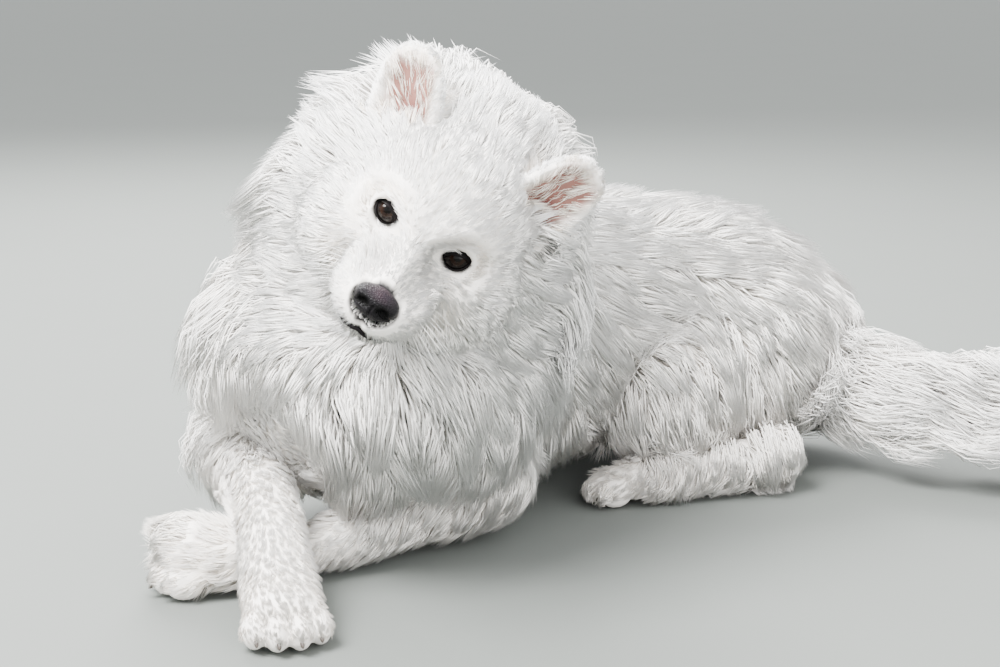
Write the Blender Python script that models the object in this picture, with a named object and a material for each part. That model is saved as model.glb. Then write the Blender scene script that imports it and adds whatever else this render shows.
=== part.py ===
"""A life-size model of a samoyed that lies on its chest with crossed forelegs and tilts its head.

Frame: metres, +Z up, floor at z = 0. The origin is on the flat under the chest. The dog faces -X and
its left side faces -Y. Its back bends, so that the chest and the rump both turn towards its left.
"""

import math
import random

import bmesh
import bpy
from mathutils import Matrix, Vector
from mathutils.bvhtree import BVHTree

GAP = 0.0003
WELD = 0.00001
FLAT_ANGLE = 0.001
SHELL_LIMIT = 2.5
UP = Vector((0.0, 0.0, 1.0))
FAR = 2.0

# How much of the coat's depth the solid core fills.
CORE_SHARE = 0.5

# Skins that blend overlapping forms: voxel size, rounds of smoothing, number of triangles.
# The first three are cores, the others are surfaces with their locks.
BODY_SKIN = (0.010, 8, 700)
HEAD_SKIN = (0.004, 6, 900)
PAW_SKIN = (0.004, 3, 250)
BODY_COAT = (0.0030, 1, 6400)
TAIL_COAT_SKIN = (0.0025, 1, 1100)
PAW_COAT = (0.0020, 1, 500)

# Stations of the body: x, y, z of the middle, half width and half height of the flesh, coat depth.
TRUNK = (
    (-0.188, -0.112, 0.200, 0.100, 0.075, 0.068),
    (-0.127, -0.062, 0.185, 0.118, 0.115, 0.075),
    (0.000, 0.000, 0.172, 0.118, 0.135, 0.050),
    (0.133, 0.017, 0.172, 0.112, 0.128, 0.045),
    (0.255, 0.004, 0.166, 0.100, 0.118, 0.045),
    (0.359, -0.031, 0.158, 0.105, 0.108, 0.045),
    (0.426, -0.068, 0.130, 0.080, 0.085, 0.045),
)
# The pad under the chest and belly on which the model rests.
BELLY = (
    (-0.055, -0.020, 0.080, 0.085, 0.092),
    (0.060, 0.005, 0.080, 0.090, 0.092),
    (0.180, 0.010, 0.080, 0.085, 0.092),
    (0.300, -0.015, 0.080, 0.075, 0.092),
)
NECK = (
    (-0.076, -0.028, 0.205, 0.105, 0.100, 0.075),
    (-0.121, -0.086, 0.265, 0.110, 0.105, 0.088),
    (-0.136, -0.152, 0.358, 0.100, 0.090, 0.068),
    (-0.158, -0.194, 0.366, 0.075, 0.065, 0.026),
)
THIGH_LEFT = ((0.369, -0.096, 0.140, 0.075, 0.085, 0.035), (0.224, -0.101, 0.095, 0.050, 0.055, 0.030))
THIGH_RIGHT = ((0.389, 0.049, 0.130, 0.070, 0.080, 0.035), (0.244, 0.109, 0.090, 0.050, 0.055, 0.030))

# Legs and tail: x, y, z of the middle, half width and half height with the coat.
FORELEG_RIGHT = (
    (-0.211, 0.049, 0.095, 0.052, 0.055),
    (-0.261, -0.031, 0.092, 0.043, 0.043),
    (-0.299, -0.097, 0.082, 0.038, 0.036),
    (-0.330, -0.156, 0.062, 0.036, 0.035),
)
FOREPAW_RIGHT = (
    (-0.333, -0.162, 0.058, 0.037, 0.036),
    (-0.354, -0.202, 0.036, 0.041, 0.036),
    (-0.371, -0.234, 0.028, 0.040, 0.030),
)
FORELEG_LEFT = (
    (-0.041, -0.123, 0.065, 0.048, 0.050),
    (-0.152, -0.113, 0.045, 0.038, 0.040),
    (-0.236, -0.106, 0.028, 0.032, 0.030),
    (-0.291, -0.096, 0.024, 0.030, 0.022),
)
FOREPAW_LEFT = (
    (-0.296, -0.094, 0.024, 0.032, 0.022),
    (-0.334, -0.078, 0.035, 0.040, 0.038),
    (-0.358, -0.064, 0.039, 0.036, 0.041),
)
HIND_FOOT_LEFT = (
    (0.314, -0.191, 0.042, 0.034, 0.036),
    (0.224, -0.158, 0.028, 0.026, 0.026),
    (0.169, -0.128, 0.024, 0.033, 0.026),
    (0.146, -0.116, 0.022, 0.029, 0.022),
)
HIND_FOOT_RIGHT = (
    (0.329, 0.146, 0.042, 0.034, 0.036),
    (0.234, 0.169, 0.028, 0.026, 0.026),
    (0.176, 0.174, 0.024, 0.033, 0.026),
    (0.152, 0.174, 0.022, 0.029, 0.022),
)
TAIL = (
    (0.464, -0.106, 0.120, 0.045, 0.050),
    (0.464, -0.196, 0.098, 0.062, 0.072),
    (0.464, -0.276, 0.084, 0.076, 0.084),
    (0.509, -0.341, 0.080, 0.080, 0.084),
)
TAIL_PLUME = (
    (0.514, -0.346, 0.080, 0.080, 0.084),
    (0.574, -0.396, 0.078, 0.078, 0.084),
    (0.644, -0.431, 0.064, 0.064, 0.070),
    (0.709, -0.451, 0.040, 0.034, 0.040),
)

# Toes: places across and ahead of a paw's last station, as shares of its half width.
TOES = ((-0.78, 0.30), (-0.27, 0.62), (0.27, 0.62), (0.78, 0.30))
TOE_RADII = (0.022, 0.0125, 0.0185)

# The head's own axes start between the eyes: forward, left and up.
EYES = Vector((-0.237, -0.259, 0.346))
HEAD_TURN = math.radians(38.8)
HEAD_NOD = math.radians(9.5)
HEAD_TILT = math.radians(35.0)
EYE_SPACING = 0.074
EYE_RADIUS = 0.0118
EYE_BACK = 0.0075
EYE_SLANT = math.radians(26.0)
EYE_OPENING = (0.020, 0.0120, 0.0078)
LID_RADII = (0.0150, 0.0172, 0.0128)
LID_AHEAD = 0.002

# The line of the mouth from the middle to the left corner, in the head's own axes.
MOUTH = ((0.104, 0.0, -0.058), (0.084, 0.024, -0.065), (0.052, 0.038, -0.064), (0.022, 0.048, -0.054))
MOUTH_RADIUS = 0.0016
LIP_RADIUS = 0.0026
LIP_RISE = 0.0032

# Parts of the head under its coat: forward, left, up of the middle, three radii, coat depth.
SKULL = (-0.062, 0.0, 0.012, 0.080, 0.068, 0.060, 0.018)
BROW = (-0.024, 0.0, 0.010, 0.035, 0.050, 0.034, 0.004)
CHEEK = (-0.050, 0.048, -0.038, 0.052, 0.036, 0.046, 0.030)
MUZZLE = (
    (-0.020, 0.0, -0.028, 0.040, 0.036, 0.008),
    (0.030, 0.0, -0.032, 0.037, 0.031, 0.007),
    (0.062, 0.0, -0.038, 0.036, 0.030, 0.006),
    (0.086, 0.0, -0.040, 0.030, 0.025, 0.005),
)
JAW = (
    (-0.030, 0.0, -0.064, 0.032, 0.020, 0.012),
    (0.030, 0.0, -0.066, 0.027, 0.015, 0.009),
    (0.076, 0.0, -0.063, 0.019, 0.012, 0.005),
)
NOSE_MIDDLE = (0.104, 0.0, -0.028)
NOSE_RADII = (0.013, 0.0195, 0.0145)
NOSTRIL_PLACE = (0.0105, 0.0095, -0.003)
NOSTRIL_RADII = (0.008, 0.0045, 0.0032)

EAR_ROOT = (-0.078, 0.070, 0.040)
EAR_TIP = (-0.090, 0.095, 0.115)
EAR_HALF_WIDTH = 0.040
EAR_CUP = 0.016
EAR_THICK = 0.014

HEAD_REGION = ((0.020, 0.0, -0.012), (0.160, 0.118, 0.108))
NECK_CUT = ((-0.036, -0.026, 0.200), (-0.62, -0.52, 0.58))
HIPS_CUT = ((0.299, -0.011, 0.160), (0.95, -0.32, 0.0))

# The lie of the coat: place, way the hair runs there, length and width of a lock, rise of its tip.
COMB = (
    ((-0.290, -0.200, 0.200), (-0.1, -0.1, -1.0), 0.150, 0.075, 0.034),
    ((-0.250, -0.180, 0.110), (0.1, 0.1, -1.0), 0.120, 0.065, 0.030),
    ((-0.288, 0.005, 0.265), (-0.2, 0.3, -0.9), 0.160, 0.080, 0.044),
    ((-0.240, 0.030, 0.140), (-0.1, 0.2, -1.0), 0.140, 0.075, 0.036),
    ((-0.268, -0.080, 0.400), (-0.4, 0.7, -0.3), 0.130, 0.075, 0.034),
    ((-0.110, -0.130, 0.500), (0.7, 0.5, 0.2), 0.130, 0.075, 0.034),
    ((0.046, -0.177, 0.265), (0.5, -0.2, -0.8), 0.160, 0.080, 0.044),
    ((0.030, -0.190, 0.120), (0.3, -0.2, -0.9), 0.140, 0.075, 0.036),
    ((-0.020, -0.020, 0.420), (0.8, 0.4, -0.2), 0.150, 0.080, 0.040),
    ((-0.130, 0.100, 0.320), (0.3, 0.7, -0.6), 0.150, 0.080, 0.044),
    ((0.040, 0.010, 0.345), (1.0, 0.05, -0.1), 0.130, 0.080, 0.024),
    ((0.200, 0.000, 0.335), (1.0, -0.1, -0.1), 0.120, 0.080, 0.022),
    ((0.350, -0.030, 0.310), (0.9, -0.35, -0.25), 0.120, 0.080, 0.022),
    ((0.460, -0.090, 0.240), (0.5, -0.5, -0.7), 0.120, 0.075, 0.022),
    ((0.030, -0.140, 0.200), (0.6, -0.1, -0.75), 0.130, 0.080, 0.024),
    ((0.150, -0.130, 0.200), (0.75, -0.1, -0.6), 0.120, 0.080, 0.022),
    ((0.120, -0.140, 0.070), (0.7, -0.1, -0.5), 0.110, 0.070, 0.022),
    ((0.360, -0.190, 0.160), (0.45, -0.3, -0.8), 0.110, 0.075, 0.018),
    ((0.200, -0.150, 0.130), (0.3, -0.2, -0.9), 0.100, 0.070, 0.016),
    ((0.000, 0.160, 0.200), (0.75, 0.2, -0.6), 0.130, 0.080, 0.024),
    ((0.140, 0.170, 0.200), (0.8, 0.05, -0.6), 0.120, 0.080, 0.022),
    ((0.390, 0.140, 0.160), (0.6, 0.1, -0.8), 0.110, 0.075, 0.018),
    ((0.240, 0.190, 0.120), (0.4, 0.1, -0.9), 0.100, 0.070, 0.016),
)
TAIL_COMB = (
    ((0.464, -0.200, 0.160), (0.3, -0.8, 0.5), 0.120, 0.060, 0.022),
    ((0.390, -0.270, 0.080), (0.0, -0.7, -0.7), 0.110, 0.055, 0.024),
    ((0.500, -0.340, 0.160), (0.6, -0.8, 0.0), 0.130, 0.060, 0.024),
    ((0.530, -0.250, 0.080), (0.8, -0.6, 0.2), 0.130, 0.060, 0.026),
    ((0.460, -0.420, 0.050), (0.6, -0.7, -0.4), 0.110, 0.055, 0.022),
    ((0.620, -0.420, 0.140), (0.9, -0.4, 0.1), 0.140, 0.060, 0.026),
    ((0.640, -0.360, 0.070), (1.0, -0.1, 0.1), 0.130, 0.055, 0.026),
    ((0.600, -0.490, 0.050), (0.8, -0.5, -0.1), 0.120, 0.055, 0.022),
    ((-0.360, -0.060, 0.060), (-0.45, 0.5, 0.6), 0.075, 0.038, 0.012),
)
HEAD_COMB = (
    ((0.060, 0.0, 0.000), (-1.0, 0.0, 0.3), 0.040, 0.030, 0.004),
    ((0.000, 0.0, 0.050), (-1.0, 0.0, 0.5), 0.060, 0.040, 0.009),
    ((-0.070, 0.0, 0.090), (-1.0, 0.0, 0.3), 0.080, 0.050, 0.012),
    ((-0.040, 0.085, -0.030), (-0.7, 0.5, -0.5), 0.075, 0.045, 0.014),
    ((-0.040, -0.085, -0.030), (-0.7, -0.5, -0.5), 0.075, 0.045, 0.014),
    ((0.000, 0.045, -0.080), (-0.6, 0.4, -0.8), 0.065, 0.045, 0.012),
    ((0.000, -0.045, -0.080), (-0.6, -0.4, -0.8), 0.065, 0.045, 0.012),
)
LOCK_STEPS = 3
LOCK_SWELL = (0.80, 1.00, 0.70)
LOCK_SINK = 0.010
LOCK_THICK = 0.17
LOCK_GROWTH = 1.35
LOCK_SPREAD = (0.85, 1.15)
LOCK_LIFT = 1.45
LIFT_SPREAD = (0.8, 1.0)
LOCK_CREST = 0.35
LOCK_SWING = math.radians(20.0)
FLOOR_CLEAR = 0.004
ROOT_TRIES = 6000
ROOT_SPACING = 0.75
TAIL_COAT = 0.022
TAIL_BARE = -0.150
BODY_SEED = 7
PAW_SEED = 3
TAIL_SEED = 6


def clear_scene():
    for item in list(bpy.data.objects):
        bpy.data.objects.remove(item, do_unlink=True)


def finish(name, colour, roughness):
    material = bpy.data.materials.new(name)
    material.use_nodes = True
    shader = material.node_tree.nodes["Principled BSDF"]
    shader.inputs["Base Color"].default_value = (*colour, 1.0)
    shader.inputs["Roughness"].default_value = roughness
    return material


def new_object(name, form):
    """Makes an object from a bmesh, which is freed."""
    bmesh.ops.recalc_face_normals(form, faces=form.faces)
    mesh = bpy.data.meshes.new(name)
    form.to_mesh(mesh)
    form.free()
    item = bpy.data.objects.new(name, mesh)
    bpy.context.scene.collection.objects.link(item)
    return item


def remove(item):
    bpy.data.objects.remove(item, do_unlink=True)


def duplicate(item):
    copy = item.copy()
    copy.data = item.data.copy()
    bpy.context.scene.collection.objects.link(copy)
    return copy


def apply_modifiers(item):
    """Replaces an object's mesh by the mesh that its modifiers give."""
    bpy.context.view_layer.update()
    shown = item.evaluated_get(bpy.context.evaluated_depsgraph_get())
    mesh = bpy.data.meshes.new_from_object(shown)
    item.modifiers.clear()
    item.data = mesh
    return item


def combine(item, others, operation, solver="EXACT"):
    """Joins, cuts or intersects an object with others and removes those.

    Bodies with locks take the MANIFOLD solver, because EXACT leaves open edges where locks cross.
    """
    group = bpy.data.collections.new("tools")
    bpy.context.scene.collection.children.link(group)
    for other in others:
        group.objects.link(other)
    modifier = item.modifiers.new("combine", "BOOLEAN")
    modifier.operand_type = "COLLECTION"
    modifier.collection = group
    modifier.operation = operation
    modifier.solver = solver
    apply_modifiers(item)
    for other in list(group.objects):
        remove(other)
    bpy.data.collections.remove(group)
    return item


def islands(form):
    """Lists the connected groups of faces of a bmesh."""
    left = set(form.faces)
    groups = []
    for face in form.faces:
        if face not in left:
            continue
        left.discard(face)
        group = [face]
        for current in group:
            for edge in current.edges:
                for other in edge.link_faces:
                    if other in left:
                        left.discard(other)
                        group.append(other)
        groups.append(group)
    return groups


def volume(faces):
    total = 0.0
    for face in faces:
        corners = [v.co for v in face.verts]
        for i in range(1, len(corners) - 1):
            total += corners[0].dot(corners[i].cross(corners[i + 1]))
    return total / 6.0


def keep_largest(item):
    """Leaves only the largest closed surface of an object, in triangles."""
    form = bmesh.new()
    form.from_mesh(item.data)
    bmesh.ops.triangulate(form, faces=form.faces)
    groups = sorted(islands(form), key=volume, reverse=True)
    scraps = [face for group in groups[1:] for face in group]
    if scraps:
        bmesh.ops.delete(form, geom=scraps, context="FACES")
    form.to_mesh(item.data)
    form.free()
    return item


def heal(item):
    """Welds slivers away and patches the places where the surface touches itself along an edge."""
    form = bmesh.new()
    form.from_mesh(item.data)
    bmesh.ops.remove_doubles(form, verts=form.verts, dist=WELD)
    bmesh.ops.dissolve_degenerate(form, edges=form.edges, dist=WELD)
    bmesh.ops.triangulate(form, faces=form.faces)
    for _ in range(16):
        bad = [edge for edge in form.edges if len(edge.link_faces) != 2]
        if not bad:
            break
        form.verts.index_update()
        corners = sorted({vert for edge in bad for vert in edge.verts}, key=lambda vert: vert.index)
        bmesh.ops.delete(form, geom=corners, context="VERTS")
        loose = [edge for edge in form.edges if not edge.link_faces]
        bmesh.ops.delete(form, geom=loose, context="EDGES")
        open_edges = [edge for edge in form.edges if len(edge.link_faces) == 1]
        patch = bmesh.ops.holes_fill(form, edges=open_edges, sides=0)
        bmesh.ops.triangulate(form, faces=patch["faces"])
    bmesh.ops.recalc_face_normals(form, faces=form.faces)
    if form.calc_volume(signed=True) < 0.0:
        bmesh.ops.reverse_faces(form, faces=form.faces)
    form.to_mesh(item.data)
    form.free()
    return keep_largest(item)


def one_base(item):
    """Joins the triangles that lie on the floor to one flat face."""
    form = bmesh.new()
    form.from_mesh(item.data)
    for vert in form.verts:
        if abs(vert.co.z) < GAP:
            vert.co.z = 0.0
    flat = [face for face in form.faces if all(vert.co.z == 0.0 for vert in face.verts)]
    inside = set(flat)
    edges = [edge for edge in form.edges if inside.issuperset(edge.link_faces)]
    verts = [vert for vert in form.verts if inside.issuperset(vert.link_faces)]
    bmesh.ops.dissolve_limit(form, angle_limit=FLAT_ANGLE, verts=verts, edges=edges)
    form.normal_update()
    form.to_mesh(item.data)
    form.free()
    return item


def ellipsoid(name, middle, radii, turn=None, segments=20, rings=12):
    form = bmesh.new()
    bmesh.ops.create_uvsphere(form, u_segments=segments, v_segments=rings, radius=1.0)
    matrix = Matrix.Translation(middle)
    if turn:
        matrix = matrix @ turn.to_4x4()
    matrix = matrix @ Matrix.Diagonal((*radii, 1.0))
    bmesh.ops.transform(form, matrix=matrix, verts=form.verts)
    return new_object(name, form)


def curve_through(values, steps):
    """Reads a smooth curve through rows of numbers, with steps samples between two rows."""
    rows = [values[0], *values, values[-1]]
    samples = []
    for i in range(len(values) - 1):
        a, b, c, d = rows[i : i + 4]
        for k in range(steps):
            t = k / steps
            samples.append(
                [
                    0.5 * (2 * q + (r - p) * t + (2 * p - 5 * q + 4 * r - s) * t**2)
                    + 0.5 * (3 * q - p - 3 * r + s) * t**3
                    for p, q, r, s in zip(a, b, c, d)
                ]
            )
    samples.append(list(values[-1]))
    return samples


def sweep(name, stations, sides=12, steps=2, grow=0.0):
    """Makes a closed round form through stations of x, y, z, half width and half height."""
    samples = curve_through(stations, steps)
    middles = [Vector(s[:3]) for s in samples]
    sizes = [(s[3] + grow, s[4] + grow) for s in samples]
    aims = []
    for i in range(len(middles)):
        before = middles[max(i - 1, 0)]
        after = middles[min(i + 1, len(middles) - 1)]
        aims.append((after - before).normalized())
    rings = []
    for turn in (80, 55, 28):
        slope = math.radians(turn)
        reach = min(sizes[0]) * math.sin(slope)
        rings.append((middles[0] - aims[0] * reach, aims[0], sizes[0], math.cos(slope)))
    rings += [(m, a, s, 1.0) for m, a, s in zip(middles, aims, sizes)]
    for turn in (28, 55, 80):
        slope = math.radians(turn)
        reach = min(sizes[-1]) * math.sin(slope)
        rings.append((middles[-1] + aims[-1] * reach, aims[-1], sizes[-1], math.cos(slope)))
    form = bmesh.new()
    loops = []
    for middle, aim, (wide, high), share in rings:
        side = aim.cross(UP).normalized()
        top = side.cross(aim)
        loop = []
        for k in range(sides):
            angle = math.tau * k / sides
            offset = side * (wide * share * math.cos(angle)) + top * (high * share * math.sin(angle))
            loop.append(form.verts.new(middle + offset))
        loops.append(loop)
    for one, two in zip(loops, loops[1:]):
        for k in range(sides):
            j = (k + 1) % sides
            form.faces.new((one[k], one[j], two[j], two[k]))
    form.faces.new(loops[0])
    form.faces.new(loops[-1])
    return new_object(name, form)


def fleshed(stations, share):
    """Adds a share of the coat's depth to stations that end with that depth."""
    return [(*s[:3], s[3] + share * s[5], s[4] + share * s[5]) for s in stations]


def tail_part(name, stations):
    """A length of the tail with its locks, which stay inside its outline near the rump."""
    core = []
    for x, y, z, wide, high in stations:
        depth = TAIL_COAT if y < TAIL_BARE else 0.0
        core.append((x, y, z, wide - depth, high - depth))
    return coat(sweep(name, core, 14, 2), TAIL_SEED, on_tail, TAIL_COAT_SKIN)


def half_space(name, cut, shift):
    """A large block on the side of a plane that its normal points to."""
    middle, normal = Vector(cut[0]), Vector(cut[1]).normalized()
    form = bmesh.new()
    bmesh.ops.create_cube(form, size=2.0 * FAR)
    turn = UP.rotation_difference(normal).to_matrix().to_4x4()
    matrix = Matrix.Translation(middle + normal * (FAR + shift)) @ turn
    bmesh.ops.transform(form, matrix=matrix, verts=form.verts)
    return new_object(name, form)


def soften(item, voxel, smoothing, faces):
    """Blends overlapping closed forms into one skin with about the given number of triangles."""
    blend = item.modifiers.new("blend", "REMESH")
    blend.mode = "VOXEL"
    blend.voxel_size = voxel
    smooth = item.modifiers.new("smooth", "SMOOTH")
    smooth.factor = 0.5
    smooth.iterations = smoothing
    apply_modifiers(item)
    thin = item.modifiers.new("thin", "DECIMATE")
    thin.ratio = min(1.0, faces / (2.0 * len(item.data.polygons)))
    apply_modifiers(item)
    return keep_largest(item)


def join(name, items):
    """Puts the meshes of several objects in one object and removes those."""
    form = bmesh.new()
    for item in items:
        form.from_mesh(item.data)
        remove(item)
    return new_object(name, form)


def head_turn():
    forward = Vector(
        (
            -math.cos(HEAD_TURN) * math.cos(HEAD_NOD),
            -math.sin(HEAD_TURN) * math.cos(HEAD_NOD),
            -math.sin(HEAD_NOD),
        )
    )
    left = Vector((math.sin(HEAD_TURN), -math.cos(HEAD_TURN), 0.0))
    top = forward.cross(left)
    tilted_left = left * math.cos(HEAD_TILT) - top * math.sin(HEAD_TILT)
    tilted_top = top * math.cos(HEAD_TILT) + left * math.sin(HEAD_TILT)
    return Matrix((forward, tilted_left, tilted_top)).transposed()


TURN = head_turn()


def at_head(place):
    return EYES + TURN @ Vector(place)


def head_ellipsoid(name, part, share, side=1):
    f, l, u, a, b, c, coat = part
    radii = [r + coat * share for r in (a, b, c)]
    return ellipsoid(name, at_head((f, side * l, u)), radii, TURN)


def head_sweep(name, stations, share):
    """A round form along the muzzle, whose stations are in the head's own axes."""
    samples = curve_through(stations, 4)
    items = []
    for f, l, u, wide, high, coat in samples:
        radii = (min(wide, high) + coat * share, wide + coat * share, high + coat * share)
        items.append(ellipsoid(name, at_head((f, l, u)), radii, TURN))
    return items


def paw(name, stations):
    """A paw whose four toes stand out in front."""
    items = [sweep(name, stations, 16, 3)]
    end = Vector(stations[-1][:3])
    aim = (end - Vector(stations[0][:3])).normalized()
    aim.z = 0.0
    side = aim.cross(UP).normalized()
    wide, high = stations[-1][3:]
    for share, ahead in TOES:
        place = end + side * (share * wide) + aim.normalized() * (ahead * wide)
        place.z = min(place.z, TOE_RADII[2] - 0.001)
        turn = Matrix((aim.normalized(), side, UP)).transposed()
        items.append(ellipsoid("toe", place, TOE_RADII, turn, 12, 8))
    return soften(join(name, items), *PAW_SKIN)


def trunk_core(share):
    items = [
        sweep("trunk", fleshed(TRUNK, share), 24, 4),
        sweep("neck", fleshed(NECK, share), 24, 4),
        sweep("thigh", fleshed(THIGH_LEFT, share), 24, 4),
        sweep("thigh", fleshed(THIGH_RIGHT, share), 24, 4),
    ]
    items.append(sweep("belly", BELLY, 16, 4))
    return soften(join("body", items), *BODY_SKIN)


def head_core(share):
    items = [head_ellipsoid("skull", SKULL, share), head_ellipsoid("brow", BROW, share)]
    items += [head_ellipsoid("cheek", CHEEK, share, side) for side in (-1, 1)]
    items += head_sweep("muzzle", MUZZLE, share)
    items += head_sweep("jaw", JAW, share)
    return soften(join("head", items), *HEAD_SKIN)


def surface_of(item):
    form = bmesh.new()
    form.from_mesh(item.data)
    surface = BVHTree.FromBMesh(form)
    form.free()
    return surface


def carve_face(item):
    """Adds the lids and the lips, then cuts the eyes' openings and the line of the mouth."""
    surface = surface_of(item)
    combine(item, [mouth_line(surface, LIP_RISE, LIP_RADIUS, "lip"), *lids()], "UNION", "MANIFOLD")
    combine(item, [mouth_line(surface, 0.0, MOUTH_RADIUS, "mouth")], "DIFFERENCE", "MANIFOLD")
    combine(item, [eye_opening(side) for side in (-1, 1)], "DIFFERENCE", "MANIFOLD")
    return keep_largest(item)


def comb_at(place):
    """Reads the lie of the coat near a place: its way, and a lock's length, width and rise."""
    total = 0.0
    way = Vector()
    sizes = Vector()
    for spot, run, length, wide, rise in CHART:
        share = 1.0 / ((place - spot).length_squared + 0.0009) ** 2
        total += share
        way += share * run
        sizes += share * Vector((length, wide, rise))
    return way.normalized(), sizes / total


def comb_chart():
    chart = [(Vector(p), Vector(w).normalized(), *sizes) for p, w, *sizes in COMB + TAIL_COMB]
    chart += [(at_head(p), (TURN @ Vector(w)).normalized(), *sizes) for p, w, *sizes in HEAD_COMB]
    return chart


def lock(surface, start, draw):
    """One flat, tapered lock that leaves the core at its root and bends along the lie of the coat.

    Each section is a flat triangle whose ridge stands at the crest, a little to one side.
    """
    _, (length, wide, rise) = comb_at(start)
    length *= LOCK_GROWTH * draw.uniform(*LOCK_SPREAD)
    wide *= LOCK_GROWTH * draw.uniform(*LOCK_SPREAD)
    rise *= LOCK_LIFT * draw.uniform(*LIFT_SPREAD)
    swing = draw.uniform(-LOCK_SWING, LOCK_SWING)
    crest = draw.uniform(-LOCK_CREST, LOCK_CREST)
    form = bmesh.new()
    sections = []
    place = start
    for i in range(LOCK_STEPS + 1):
        t = i / LOCK_STEPS
        near, normal, _, _ = surface.find_nearest(place)
        way, _ = comb_at(near)
        way.rotate(Matrix.Rotation(swing * t, 3, normal))
        along = (way - normal * way.dot(normal)).normalized()
        side = normal.cross(along)
        lift = -LOCK_SINK + (LOCK_SINK + rise) * t
        middle = near + normal * lift
        middle.z = max(middle.z, FLOOR_CLEAR)
        if i == LOCK_STEPS:
            tip = form.verts.new(middle)
            break
        half = 0.5 * wide * LOCK_SWELL[i]
        thick = wide * LOCK_THICK * LOCK_SWELL[i]
        corners = [
            middle - side * half - normal * 0.4 * thick,
            middle + side * half - normal * 0.4 * thick,
            middle + side * half * crest + normal * 0.6 * thick,
        ]
        sections.append([form.verts.new(corner) for corner in corners])
        place = near + along * length / LOCK_STEPS
    for one, two in zip(sections, sections[1:]):
        for k in range(3):
            j = (k + 1) % 3
            form.faces.new((one[k], one[j], two[j]))
            form.faces.new((one[k], two[j], two[k]))
    for k in range(3):
        form.faces.new((sections[-1][k], sections[-1][(k + 1) % 3], tip))
    form.faces.new(sections[0])
    return new_object("lock", form)


def lock_roots(core, draw, allowed):
    """Places spread over the core's surface, closer together where the locks are smaller."""
    core.data.calc_loop_triangles()
    corners = [[core.data.vertices[k].co for k in t.vertices] for t in core.data.loop_triangles]
    areas = [0.5 * (b - a).cross(c - a).length for a, b, c in corners]
    places = []
    for a, b, c in draw.choices(corners, weights=areas, k=ROOT_TRIES):
        u = draw.random()
        v = draw.random()
        if u + v > 1.0:
            u = 1.0 - u
            v = 1.0 - v
        place = a + (b - a) * u + (c - a) * v
        normal = (b - a).cross(c - a).normalized()
        if not allowed(place, normal):
            continue
        _, (length, wide, _) = comb_at(place)
        room = ROOT_SPACING * length * wide
        if all((place - other).length_squared > room for other in places):
            places.append(place)
    return places


def coat(core, seed, allowed, skin):
    """Fuses a core with locks that are rooted all over it, in one union, and cleans its surface."""
    draw = random.Random(seed)
    surface = surface_of(core)
    locks = [lock(surface, place, draw) for place in lock_roots(core, draw, allowed)]
    combine(core, locks, "UNION", "MANIFOLD")
    return soften(keep_largest(core), *skin)


def on_body(place, normal):
    """Keeps locks off the face, the ears' roots and the underside."""
    f, l, u = TURN.transposed() @ (place - EYES)
    face = f > -0.030 and abs(l) < 0.062 and u > -0.082
    under = place.z < 0.030 or (normal.z < -0.5 and place.z < 0.12)
    return not (face or under)


def on_tail(place, normal):
    """Keeps the tail's locks off its root and its underside."""
    return place.y < -0.170 and normal.z > -0.55


def on_wrist(place, normal):
    """The feather on the outer side of the left forepaw."""
    return place.y > -0.085 and normal.z > -0.3 and normal.x < 0.2


def mouth_line(surface, lift, radius, name):
    """A thin round bar along the mouth on the surface of the muzzle, from corner to corner."""
    right = [(f, -l, u) for f, l, u in reversed(MOUTH[1:])]
    samples = curve_through(right + list(MOUTH), 2)
    stations = []
    for place in samples:
        near, normal, _, _ = surface.find_nearest(at_head(place))
        spot = near + (TURN @ Vector((0.0, 0.0, lift)))
        near, normal, _, _ = surface.find_nearest(spot)
        stations.append((*near, radius, radius))
    return sweep(name, stations, sides=6, steps=1)


def lids():
    items = []
    for side in (-1, 1):
        place = at_head((LID_AHEAD - EYE_BACK, side * 0.5 * EYE_SPACING, 0.0))
        turn = TURN @ Matrix.Rotation(side * EYE_SLANT, 3, "X")
        items.append(ellipsoid("lids", place, LID_RADII, turn, 14, 8))
    return items


def nose():
    return ellipsoid("nose", at_head(NOSE_MIDDLE), NOSE_RADII, TURN, 14, 8)


def nostrils():
    holes = []
    for side in (-1, 1):
        forward, aside, rise = NOSTRIL_PLACE
        place = at_head((NOSE_MIDDLE[0] + forward, side * aside, NOSE_MIDDLE[2] + rise))
        holes.append(ellipsoid("nostril", place, NOSTRIL_RADII, TURN, 8, 5))
    return holes


def eye(side):
    place = at_head((-EYE_BACK, side * 0.5 * EYE_SPACING, 0.0))
    name = "eye_left" if side > 0 else "eye_right"
    return ellipsoid(name, place, [EYE_RADIUS] * 3, TURN, 14, 8)


def eye_opening(side):
    """The almond between the lids, which rises from the nose side to the ear side."""
    place = at_head((EYE_OPENING[0] - EYE_BACK, side * 0.5 * EYE_SPACING, 0.0))
    turn = TURN @ Matrix.Rotation(side * EYE_SLANT, 3, "X")
    return ellipsoid("opening", place, EYE_OPENING, turn, 14, 8)


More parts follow.
